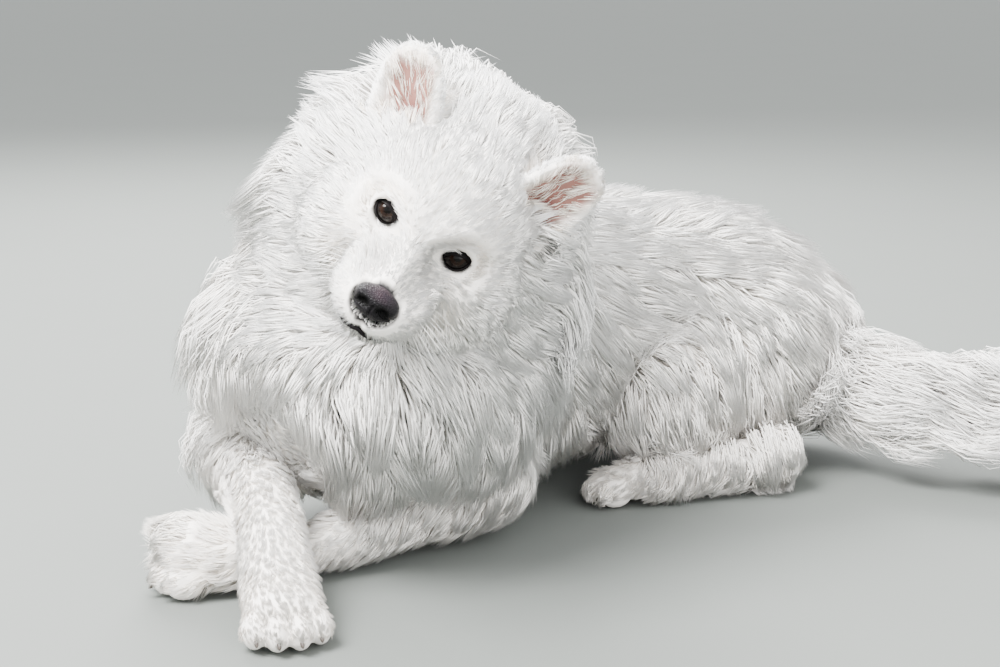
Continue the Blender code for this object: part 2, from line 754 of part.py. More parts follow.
def ear(side):
    """A cupped, rounded triangle that opens forwards, thick with fur round its rim."""
    root = Vector((EAR_ROOT[0], side * EAR_ROOT[1], EAR_ROOT[2]))
    tip = Vector((EAR_TIP[0], side * EAR_TIP[1], EAR_TIP[2]))
    rise = (tip - root).normalized()
    height = (tip - root).length
    across = rise.cross(Vector((1.0, side * 0.35, 0.0))).normalized()
    back = across.cross(rise)
    if back.x > 0:
        back = -back
    form = bmesh.new()
    columns = 8
    rows = 7
    grid = []
    for layer in (0.0, 1.0):
        sheet = []
        for j in range(rows + 1):
            t = -0.35 + 1.35 * j / rows
            lean = max(t, 0.0)
            wide = EAR_HALF_WIDTH * math.sqrt(max(1.0 - lean**3.2, 0.03))
            row = []
            for i in range(columns + 1):
                s = -1.0 + 2.0 * i / columns
                cup = EAR_CUP * (1.0 - s * s) * (1.0 - 0.6 * lean)
                thick = EAR_THICK * (0.45 + 0.55 * (1.0 - s**4)) * (1.0 - 0.35 * lean)
                depth = cup + layer * thick
                place = root + rise * (height * t) + across * (s * wide) + back * depth
                row.append(form.verts.new(at_head(place)))
            sheet.append(row)
        grid.append(sheet)
    for layer, sheet in enumerate(grid):
        for j in range(rows):
            for i in range(columns):
                form.faces.new((sheet[j][i], sheet[j][i + 1], sheet[j + 1][i + 1], sheet[j + 1][i]))
    rim = [(0, i) for i in range(columns)] + [(j, columns) for j in range(rows)]
    rim += [(rows, i) for i in range(columns, 0, -1)] + [(j, 0) for j in range(rows, 0, -1)]
    for (j, i), (n, m) in zip(rim, rim[1:] + rim[:1]):
        form.faces.new((grid[0][j][i], grid[0][n][m], grid[1][n][m], grid[1][j][i]))
    return new_object("ear_left" if side > 0 else "ear_right", form)


def grown(item, distance):
    """A copy of an object with its surface moved out."""
    copy = duplicate(item)
    form = bmesh.new()
    form.from_mesh(copy.data)
    form.normal_update()
    for vert in form.verts:
        vert.co += vert.normal * distance * min(vert.calc_shell_factor(), SHELL_LIMIT)
    form.to_mesh(copy.data)
    form.free()
    return copy


CHART = comb_chart()


def boxes_meet(one, two):
    """Whether the boxes round two objects meet."""
    for k in range(3):
        low = max(min(v.co[k] for v in item.data.vertices) for item in (one, two))
        high = min(max(v.co[k] for v in item.data.vertices) for item in (one, two))
        if low > high:
            return False
    return True


def build():
    clear_scene()
    white = finish("white_fur", (0.90, 0.88, 0.84), 0.9)
    cream = finish("cream_fur", (0.80, 0.72, 0.65), 0.9)
    black = finish("nose_leather", (0.05, 0.045, 0.05), 0.45)
    dark = finish("eye_brown", (0.03, 0.018, 0.012), 0.1)

    above = ((0.0, 0.0, 0.0), (0.0, 0.0, 1.0))
    whole = combine(trunk_core(CORE_SHARE), [head_core(CORE_SHARE)], "UNION", "MANIFOLD")
    coat(whole, BODY_SEED, on_body, BODY_COAT)
    carve_face(whole)
    combine(whole, [half_space("floor", above, 0.0)], "INTERSECT", "MANIFOLD")

    limbs = [
        paw("forepaw_right", FOREPAW_RIGHT),
        sweep("foreleg_right", FORELEG_RIGHT),
        coat(paw("forepaw_left", FOREPAW_LEFT), PAW_SEED, on_wrist, PAW_COAT),
        sweep("foreleg_left", FORELEG_LEFT),
        paw("hind_foot_left", HIND_FOOT_LEFT),
        paw("hind_foot_right", HIND_FOOT_RIGHT),
        tail_part("tail", TAIL),
        tail_part("tail_plume", TAIL_PLUME),
    ]
    face = [nose(), eye(1), eye(-1), ear(1), ear(-1)]
    for item in limbs:
        combine(item, [half_space("floor", above, 0.0)], "INTERSECT", "MANIFOLD")
    for i, item in enumerate(limbs):
        for other in limbs[:i]:
            if boxes_meet(item, other):
                combine(item, [grown(other, GAP)], "DIFFERENCE", "MANIFOLD")
        heal(item)
    for item in face + limbs:
        combine(whole, [grown(item, GAP)], "DIFFERENCE", "MANIFOLD")
        keep_largest(whole)
    combine(face[0], nostrils(), "DIFFERENCE")

    nodes = face + limbs
    middle, radii = HEAD_REGION
    regions = [
        ("head", lambda grow: ellipsoid("cut", at_head(middle), [r + grow for r in radii], TURN, 16, 9)),
        ("hind_leg_left", lambda grow: sweep("cut", fleshed(THIGH_LEFT, 1.15), grow=grow)),
        ("hind_leg_right", lambda grow: sweep("cut", fleshed(THIGH_RIGHT, 1.15), grow=grow)),
        ("neck", lambda grow: half_space("cut", NECK_CUT, -grow)),
        ("hips", lambda grow: half_space("cut", HIPS_CUT, -grow)),
    ]
    for name, cutter in regions:
        piece = duplicate(whole)
        piece.name = name
        combine(piece, [cutter(0.0)], "INTERSECT", "MANIFOLD")
        nodes.append(keep_largest(piece))
        combine(whole, [cutter(GAP)], "DIFFERENCE", "MANIFOLD")
    whole.name = "torso"
    nodes.append(keep_largest(whole))

    for item in nodes:
        heal(item)
        if item.name == "torso":
            one_base(item)
        item.data.materials.clear()
        paint = white
        if item.name.startswith("eye"):
            paint = dark
        if item.name == "nose":
            paint = black
        if item.name.startswith("ear"):
            paint = cream
        item.data.materials.append(paint)
        item.data.shade_smooth()


build()
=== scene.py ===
import math

import bpy
import numpy as np
from mathutils import Matrix, Vector
from mathutils.bvhtree import BVHTree
from mathutils.kdtree import KDTree


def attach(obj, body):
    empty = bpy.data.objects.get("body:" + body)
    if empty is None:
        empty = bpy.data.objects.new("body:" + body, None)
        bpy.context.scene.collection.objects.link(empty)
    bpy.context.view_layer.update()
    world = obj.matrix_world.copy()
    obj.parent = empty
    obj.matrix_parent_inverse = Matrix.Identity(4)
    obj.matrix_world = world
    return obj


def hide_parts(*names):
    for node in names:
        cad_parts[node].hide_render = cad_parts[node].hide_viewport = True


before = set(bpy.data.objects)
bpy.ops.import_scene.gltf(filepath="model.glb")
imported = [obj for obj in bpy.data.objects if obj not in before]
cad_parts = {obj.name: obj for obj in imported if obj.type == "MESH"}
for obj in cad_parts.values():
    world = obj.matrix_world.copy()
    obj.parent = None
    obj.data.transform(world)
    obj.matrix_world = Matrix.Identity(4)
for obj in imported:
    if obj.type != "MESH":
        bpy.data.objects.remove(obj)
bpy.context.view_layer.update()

up = Vector((0.0, 0.0, 1.0))
print("frame read")

# Stations of the body: x, y, z of the middle, half width and half height of the flesh, depth of its coat.
body = {
    "trunk": (
        (-0.188, -0.112, 0.200, 0.100, 0.075, 0.068),
        (-0.127, -0.062, 0.185, 0.118, 0.115, 0.075),
        (0.000, 0.000, 0.172, 0.118, 0.135, 0.050),
        (0.133, 0.017, 0.172, 0.112, 0.128, 0.045),
        (0.255, 0.004, 0.166, 0.100, 0.118, 0.045),
        (0.359, -0.031, 0.158, 0.105, 0.108, 0.045),
        (0.426, -0.068, 0.130, 0.080, 0.085, 0.045),
    ),
    "neck": (
        (-0.076, -0.028, 0.205, 0.105, 0.100, 0.075),
        (-0.121, -0.086, 0.265, 0.110, 0.105, 0.088),
        (-0.136, -0.152, 0.358, 0.100, 0.090, 0.068),
        (-0.158, -0.194, 0.366, 0.075, 0.065, 0.026),
    ),
    "thighLeft": ((0.369, -0.096, 0.140, 0.075, 0.085, 0.035), (0.224, -0.101, 0.095, 0.050, 0.055, 0.030)),
    "thighRight": ((0.389, 0.049, 0.130, 0.070, 0.080, 0.035), (0.244, 0.109, 0.090, 0.050, 0.055, 0.030)),
    "forelegRight": (
        (-0.211, 0.049, 0.095, 0.044, 0.047, 0.008),
        (-0.261, -0.031, 0.092, 0.034, 0.034, 0.009),
        (-0.299, -0.097, 0.082, 0.030, 0.028, 0.008),
        (-0.330, -0.156, 0.062, 0.030, 0.029, 0.006),
        (-0.354, -0.202, 0.036, 0.035, 0.029, 0.005),
        (-0.371, -0.234, 0.027, 0.034, 0.024, 0.005),
    ),
    "forelegLeft": (
        (-0.041, -0.123, 0.065, 0.040, 0.042, 0.008),
        (-0.152, -0.113, 0.045, 0.030, 0.032, 0.008),
        (-0.236, -0.106, 0.030, 0.026, 0.024, 0.006),
        (-0.296, -0.094, 0.027, 0.027, 0.020, 0.004),
        (-0.334, -0.078, 0.034, 0.034, 0.031, 0.005),
        (-0.358, -0.064, 0.038, 0.031, 0.033, 0.006),
    ),
    "hindFootLeft": (
        (0.314, -0.191, 0.042, 0.028, 0.030, 0.006),
        (0.224, -0.158, 0.028, 0.021, 0.021, 0.005),
        (0.169, -0.128, 0.024, 0.028, 0.021, 0.005),
        (0.146, -0.116, 0.022, 0.024, 0.018, 0.004),
    ),
    "hindFootRight": (
        (0.329, 0.146, 0.042, 0.028, 0.030, 0.006),
        (0.234, 0.169, 0.028, 0.021, 0.021, 0.005),
        (0.176, 0.174, 0.024, 0.028, 0.021, 0.005),
        (0.152, 0.174, 0.022, 0.024, 0.018, 0.004),
    ),
    "tail": (
        (0.456, -0.106, 0.115, 0.030, 0.034, 0.026),
        (0.460, -0.196, 0.096, 0.030, 0.034, 0.040),
        (0.464, -0.276, 0.084, 0.028, 0.032, 0.050),
        (0.514, -0.346, 0.080, 0.028, 0.030, 0.052),
        (0.574, -0.396, 0.076, 0.026, 0.028, 0.052),
        (0.644, -0.431, 0.060, 0.020, 0.022, 0.044),
        (0.690, -0.446, 0.046, 0.010, 0.012, 0.030),
    ),
    "coatShare": 0.42,  # how much of the coat's depth the skin takes up
    "voxel": 0.0026,
    "keptFaces": 0.33,  # share of the body's faces that are kept
}

# The head's own axes start between the eyes: forward, left and up.
head = {
    "middle": Vector((-0.237, -0.259, 0.346)),
    "turn": math.radians(38.8),
    "nod": math.radians(9.5),
    "tilt": math.radians(35.0),
    "fineTo": 0.17,  # the skin stays fine this far from between the eyes
    "skull": (-0.062, 0.0, 0.012, 0.080, 0.068, 0.060, 0.018),
    "brow": (-0.024, 0.0, 0.010, 0.035, 0.050, 0.034, 0.004),
    "cheek": (-0.050, 0.048, -0.038, 0.052, 0.036, 0.046, 0.030),
    "muzzle": (
        (-0.020, 0.0, -0.028, 0.040, 0.036, 0.008),
        (0.030, 0.0, -0.032, 0.037, 0.031, 0.007),
        (0.062, 0.0, -0.038, 0.036, 0.030, 0.006),
        (0.086, 0.0, -0.040, 0.030, 0.025, 0.005),
    ),
    "jaw": (
        (-0.030, 0.0, -0.064, 0.032, 0.020, 0.012),
        (0.030, 0.0, -0.066, 0.027, 0.015, 0.009),
        (0.076, 0.0, -0.063, 0.019, 0.012, 0.005),
    ),
    "mouth": ((0.104, 0.0, -0.058), (0.084, 0.024, -0.065), (0.052, 0.038, -0.064), (0.022, 0.048, -0.054)),
}
eyes = {
    "spacing": 0.074, "radius": 0.0118, "back": 0.0075, "slant": math.radians(26.0),
    "opening": (0.0116, 0.0082),
    "bulge": 0.0009,      # how far the cornea stands out
    "pocket": (0.0132, 0.0100),  # half width and half height of the hollow round an eye
    "bare": (0.0158, 0.0112),    # of the almond without hair
    "rim": (0.0150, 0.0105),     # of the almond of dark skin
}
nose = {
    "middle": (0.103, 0.0, -0.028), "radii": (0.0145, 0.0205, 0.0155),
    "hole": (0.0062, 0.0040, 0.0092),  # depth, width and place aside of a nostril
    "slit": (0.0030, 0.0030, 0.0150),  # the same of the cut at its outer side
    "wing": (0.0014, 0.0042, 0.0150),  # height, width and place aside of the flare
}
ears = {
    "root": Vector((-0.076, 0.070, 0.040)), "tip": Vector((-0.088, 0.095, 0.112)),
    "halfWidth": 0.034, "cup": 0.018, "thick": 0.0085,
}


def headTurn():
    turn, nod, tilt = head["turn"], head["nod"], head["tilt"]
    forward = Vector((-math.cos(turn) * math.cos(nod), -math.sin(turn) * math.cos(nod), -math.sin(nod)))
    left = Vector((math.sin(turn), -math.cos(turn), 0.0))
    top = forward.cross(left)
    tiltedLeft = left * math.cos(tilt) - top * math.sin(tilt)
    tiltedTop = top * math.cos(tilt) + left * math.sin(tilt)
    return Matrix((forward, tiltedLeft, tiltedTop)).transposed()


headAxes = headTurn()
headArray = np.array(headAxes)


def atHead(place):
    return head["middle"] + headAxes @ Vector(place)


def curveThrough(rows, steps):
    padded = [rows[0], *rows, rows[-1]]
    samples = []
    for i in range(len(rows) - 1):
        a, b, c, d = (np.array(r, float) for r in padded[i:i + 4])
        for k in range(steps):
            t = k / steps
            bend = 2 * a - 5 * b + 4 * c - d
            turn = 3 * b - a - 3 * c + d
            samples.append(0.5 * (2 * b + (c - a) * t + bend * t**2 + turn * t**3))
    samples.append(np.array(rows[-1], float))
    return samples


def deselect():
    for item in bpy.context.selected_objects:
        item.select_set(False)


def settle(item, name):
    # leaves the object selected alone, at the world's origin
    deselect()
    item.name = name
    item.data.name = name
    item.select_set(True)
    bpy.context.view_layer.objects.active = item
    bpy.ops.object.transform_apply(location=True, rotation=True, scale=True)
    return item


def joinAll(items, name):
    deselect()
    for item in items:
        item.select_set(True)
    bpy.context.view_layer.objects.active = items[0]
    bpy.ops.object.join()
    return settle(bpy.context.active_object, name)


def applyModifier(item, kind, **values):
    deselect()
    item.select_set(True)
    bpy.context.view_layer.objects.active = item
    modifier = item.modifiers.new(kind.lower(), kind)
    for key, value in values.items():
        setattr(modifier, key, value)
    bpy.ops.object.modifier_apply(modifier=modifier.name)
    return item


def addBall(place, radii, axes=None, detail=3):
    turn = (axes or Matrix.Identity(3)).to_euler()
    bpy.ops.mesh.primitive_ico_sphere_add(
        subdivisions=detail, radius=1.0, location=place, rotation=turn, scale=radii
    )
    return bpy.context.active_object


def limb(rows, share):
    # a chain of balls through the stations, close enough to blend into one limb
    balls = []
    samples = curveThrough(rows, 7)
    for i, s in enumerate(samples):
        ahead = Vector(samples[min(i + 1, len(samples) - 1)][:3]) - Vector(samples[max(i - 1, 0)][:3])
        aim = ahead.normalized()
        side = aim.cross(up).normalized()
        axes = Matrix((aim, side, side.cross(aim))).transposed()
        wide, high = s[3] + s[5] * share, s[4] + s[5] * share
        balls.append(addBall(s[:3], (min(wide, high), wide, high), axes, 2))
    return balls


def toes(rows):
    # four toes with a claw each, ahead of a paw's last station
    paw = {
        "across": (-0.74, -0.26, 0.26, 0.74), "ahead": (0.28, 0.56, 0.56, 0.28),
        "radii": (0.019, 0.0112, 0.016), "clawAhead": 0.016, "clawDown": 0.003,
    }
    end = Vector(rows[-1][:3])
    aim = end - Vector(rows[-3][:3])
    aim.z = 0.0
    aim.normalize()
    side = aim.cross(up).normalized()
    wide = rows[-1][3] + 0.004
    axes = Matrix((aim, side, up)).transposed()
    balls = []
    tips = []
    for across, ahead in zip(paw["across"], paw["ahead"]):
        place = end + side * across * wide + aim * ahead * wide
        place.z = min(place.z, paw["radii"][2] + 0.001)
        balls.append(addBall(place, paw["radii"], axes, 3))
        tips.append((place + aim * paw["clawAhead"] - up * paw["clawDown"], aim.copy()))
    return balls, tips


def headParts():
    parts = []
    for key, sides in (("skull", (1,)), ("brow", (1,)), ("cheek", (1, -1))):
        f, l, u, a, b, c, coat = head[key]
        grow = coat * body["coatShare"]
        for side in sides:
            parts.append(addBall(atHead((f, side * l, u)), (a + grow, b + grow, c + grow), headAxes, 4))
    for key in ("muzzle", "jaw"):
        for f, l, u, wide, high, coat in curveThrough(head[key], 5):
            grow = coat * body["coatShare"]
            radii = (min(wide, high) + grow, wide + grow, high + grow)
            parts.append(addBall(atHead((f, l, u)), radii, headAxes, 3))
    return parts


def earFrame(side):
    root = Vector((ears["root"].x, side * ears["root"].y, ears["root"].z))
    tip = Vector((ears["tip"].x, side * ears["tip"].y, ears["tip"].z))
    rise = (tip - root).normalized()
    across = rise.cross(Vector((1.0, side * 0.35, 0.0))).normalized()
    back = across.cross(rise)
    if back.x > 0:
        back = -back
    return root, (tip - root).length, rise, across, back


def earForm(side):
    # a grid is cupped, rounded at the tip and thickened
    bpy.ops.mesh.primitive_grid_add(x_subdivisions=24, y_subdivisions=24, size=2.0)
    item = bpy.context.active_object
    root, height, rise, across, back = earFrame(side)
    for vert in item.data.vertices:
        s, t = vert.co.x, -0.35 + 1.35 * 0.5 * (vert.co.y + 1.0)
        lean = max(t, 0.0)
        wide = ears["halfWidth"] * math.sqrt(max(1.0 - lean**3.2, 0.02))
        cup = ears["cup"] * (1.0 - s * s) * (1.0 - 0.6 * lean)
        vert.co = atHead(root + rise * (height * t) + across * (s * wide) + back * cup)
    return applyModifier(item, "SOLIDIFY", thickness=ears["thick"], offset=0.0)


def makeSkin():
    items = headParts() + [earForm(1), earForm(-1)]
    claws = []
    for key in ("trunk", "neck", "thighLeft", "thighRight"):
        items += limb(body[key], body["coatShare"])
    for key in ("forelegRight", "forelegLeft", "hindFootLeft", "hindFootRight"):
        items += limb(body[key], 0.0)
        balls, tips = toes(body[key])
        items += balls
        claws += tips
    items += limb(body["tail"], 0.0)
    skin = joinAll(items, "skin")
    applyModifier(skin, "REMESH", mode="VOXEL", voxel_size=body["voxel"])
    applyModifier(skin, "SMOOTH", factor=0.5, iterations=6)
    return skin, claws


def localHead(points):
    return (points - np.array(head["middle"])) @ headArray


def readPoints(item):
    points = np.empty(len(item.data.vertices) * 3)
    item.data.vertices.foreach_get("co", points)
    return points.reshape(-1, 3)


def press(away, reach):
    # a soft dent or swell that fades with the distance
    return np.exp(-((away / reach) ** 2))


def eyeAway(l, u, side, almond):
    # distance from the middle of an eye, where the edge of the almond is 1
    across = l - side * 0.5 * eyes["spacing"]
    slant = side * eyes["slant"]
    a = (across * math.cos(slant) + u * math.sin(slant)) / almond[0]
    b = (u * math.cos(slant) - across * math.sin(slant)) / almond[1]
    return np.sqrt(a * a + b * b)


def mouthLine(steps):
    # the whole mouth, from its right corner to its left one
    right = [(f, -l, u) for f, l, u in head["mouth"][:0:-1]]
    return curveThrough(right + list(head["mouth"]), steps)


def inEar(points, side):
    # each point's share of the ear's height, then its place across the ear and towards its back
    root, height, rise, across, back = earFrame(side)
    inHead = localHead(points) - np.array(root)
    return inHead @ np.array(rise) / height, inHead @ np.array(across), inHead @ np.array(back)


# What is pressed into the face: how deep, how wide, and where in the head's own axes.
faceForm = {
    "ridge": (0.0045, 0.013, 0.026),    # over the eye
    "crease": (0.0055, 0.0048, 0.0220),  # a ring round the eye
    "swell": (0.0052, 0.0075, 0.0335),  # the fold outside that ring
    "pad": (0.0050, 0.020, (0.074, 0.026, -0.046)),  # of the whiskers
    "furrow": (0.0025, 0.006, 0.035),   # up the forehead
    "philtrum": (0.0030, 0.0030, -0.050),
    "lipFold": (0.0006, 0.0055),
    "noseSeat": (0.0965, 0.021, 0.018, -0.030),  # flat behind the nose: forward, half width, half height, up
}


def shapeFace(item):
    # eye pockets, brow ridge, stop, lip fold and creases are pressed into the head
    points = readPoints(item)
    f, l, u = localHead(points).T
    change = np.zeros_like(points)
    forward, left, top = headArray.T
    for side in (1, -1):
        across = l - side * 0.5 * eyes["spacing"]
        away = eyeAway(l, u, side, eyes["pocket"])
        slope = np.where(away > 1.0, 0.0012 + 0.0075 * (away - 1.0) ** 0.8, -0.018)
        sink = np.minimum(f, slope) - f
        sink *= (f > -0.03) * (away < 2.6) * np.clip((2.6 - away) / 0.8, 0.0, 1.0)
        change += sink[:, None] * forward
        deep, wide, above = faceForm["ridge"]
        ridge = press(np.sqrt(across**2 + (u - above) ** 2), wide) * (f > -0.045)
        change += (deep * ridge)[:, None] * (0.7 * forward + 0.7 * top)
        outer = side * across
        ring = np.hypot(outer + 0.002, u - 0.001)
        turn = np.arctan2(u, outer)
        span = press(turn - 0.6, 1.35)
        deep, wide, ringAt = faceForm["crease"]
        crease = press(ring - ringAt, wide) * span * (f > -0.035)
        change -= (deep * crease)[:, None] * forward
        deep, wide, ringAt = faceForm["swell"]
        swell = press(ring - ringAt, wide) * span * (f > -0.050)
        change += (deep * swell)[:, None] * (0.8 * forward + 0.4 * top)
        deep, wide, (ahead, aside, rise) = faceForm["pad"]
        pad = press(np.sqrt((f - ahead) ** 2 + (l - side * aside) ** 2 + (u - rise) ** 2), wide)
        change += (deep * pad)[:, None] * (0.3 * forward + side * 0.9 * left - 0.2 * top)
    ahead, wide, high, rise = faceForm["noseSeat"]
    seat = np.clip(4.0 * (1.15 - (l / wide) ** 2 - ((u - rise) / high) ** 2), 0.0, 1.0) * (f > 0.06)
    change += ((np.minimum(f, ahead) - f) * seat)[:, None] * forward
    deep, wide, rise = faceForm["furrow"]
    furrow = press(np.abs(l), wide) * press(u - rise, 0.030) * (f > -0.05)
    change -= (deep * furrow)[:, None] * forward
    deep, wide, rise = faceForm["philtrum"]
    philtrum = press(np.abs(l), wide) * press(u - rise, 0.010) * (f > 0.085)
    change -= (deep * philtrum)[:, None] * forward
    deep, wide = faceForm["lipFold"]
    for row in mouthLine(8):
        near = np.sqrt((f - row[0]) ** 2 + (l - row[1]) ** 2 + (u - row[2]) ** 2)
        inwards = np.array(headAxes @ Vector((0.8, row[1] * 12.0, -0.2)))
        change -= (deep * press(near, wide))[:, None] * inwards
    points += change
    item.data.vertices.foreach_set("co", points.ravel())
    item.data.update()


def thinSkin(item):
    # the head keeps its faces, the rest gives some up
    points = readPoints(item)
    away = np.linalg.norm(localHead(points), axis=1)
    group = item.vertex_groups.new(name="body")
    far = [int(k) for k in np.nonzero(away > head["fineTo"])[0]]
    group.add(far, 1.0, "REPLACE")
    applyModifier(item, "DECIMATE", ratio=body["keptFaces"], vertex_group="body", vertex_group_factor=1.0)
    item.vertex_groups.clear()
    for face in item.data.polygons:
        face.use_smooth = True


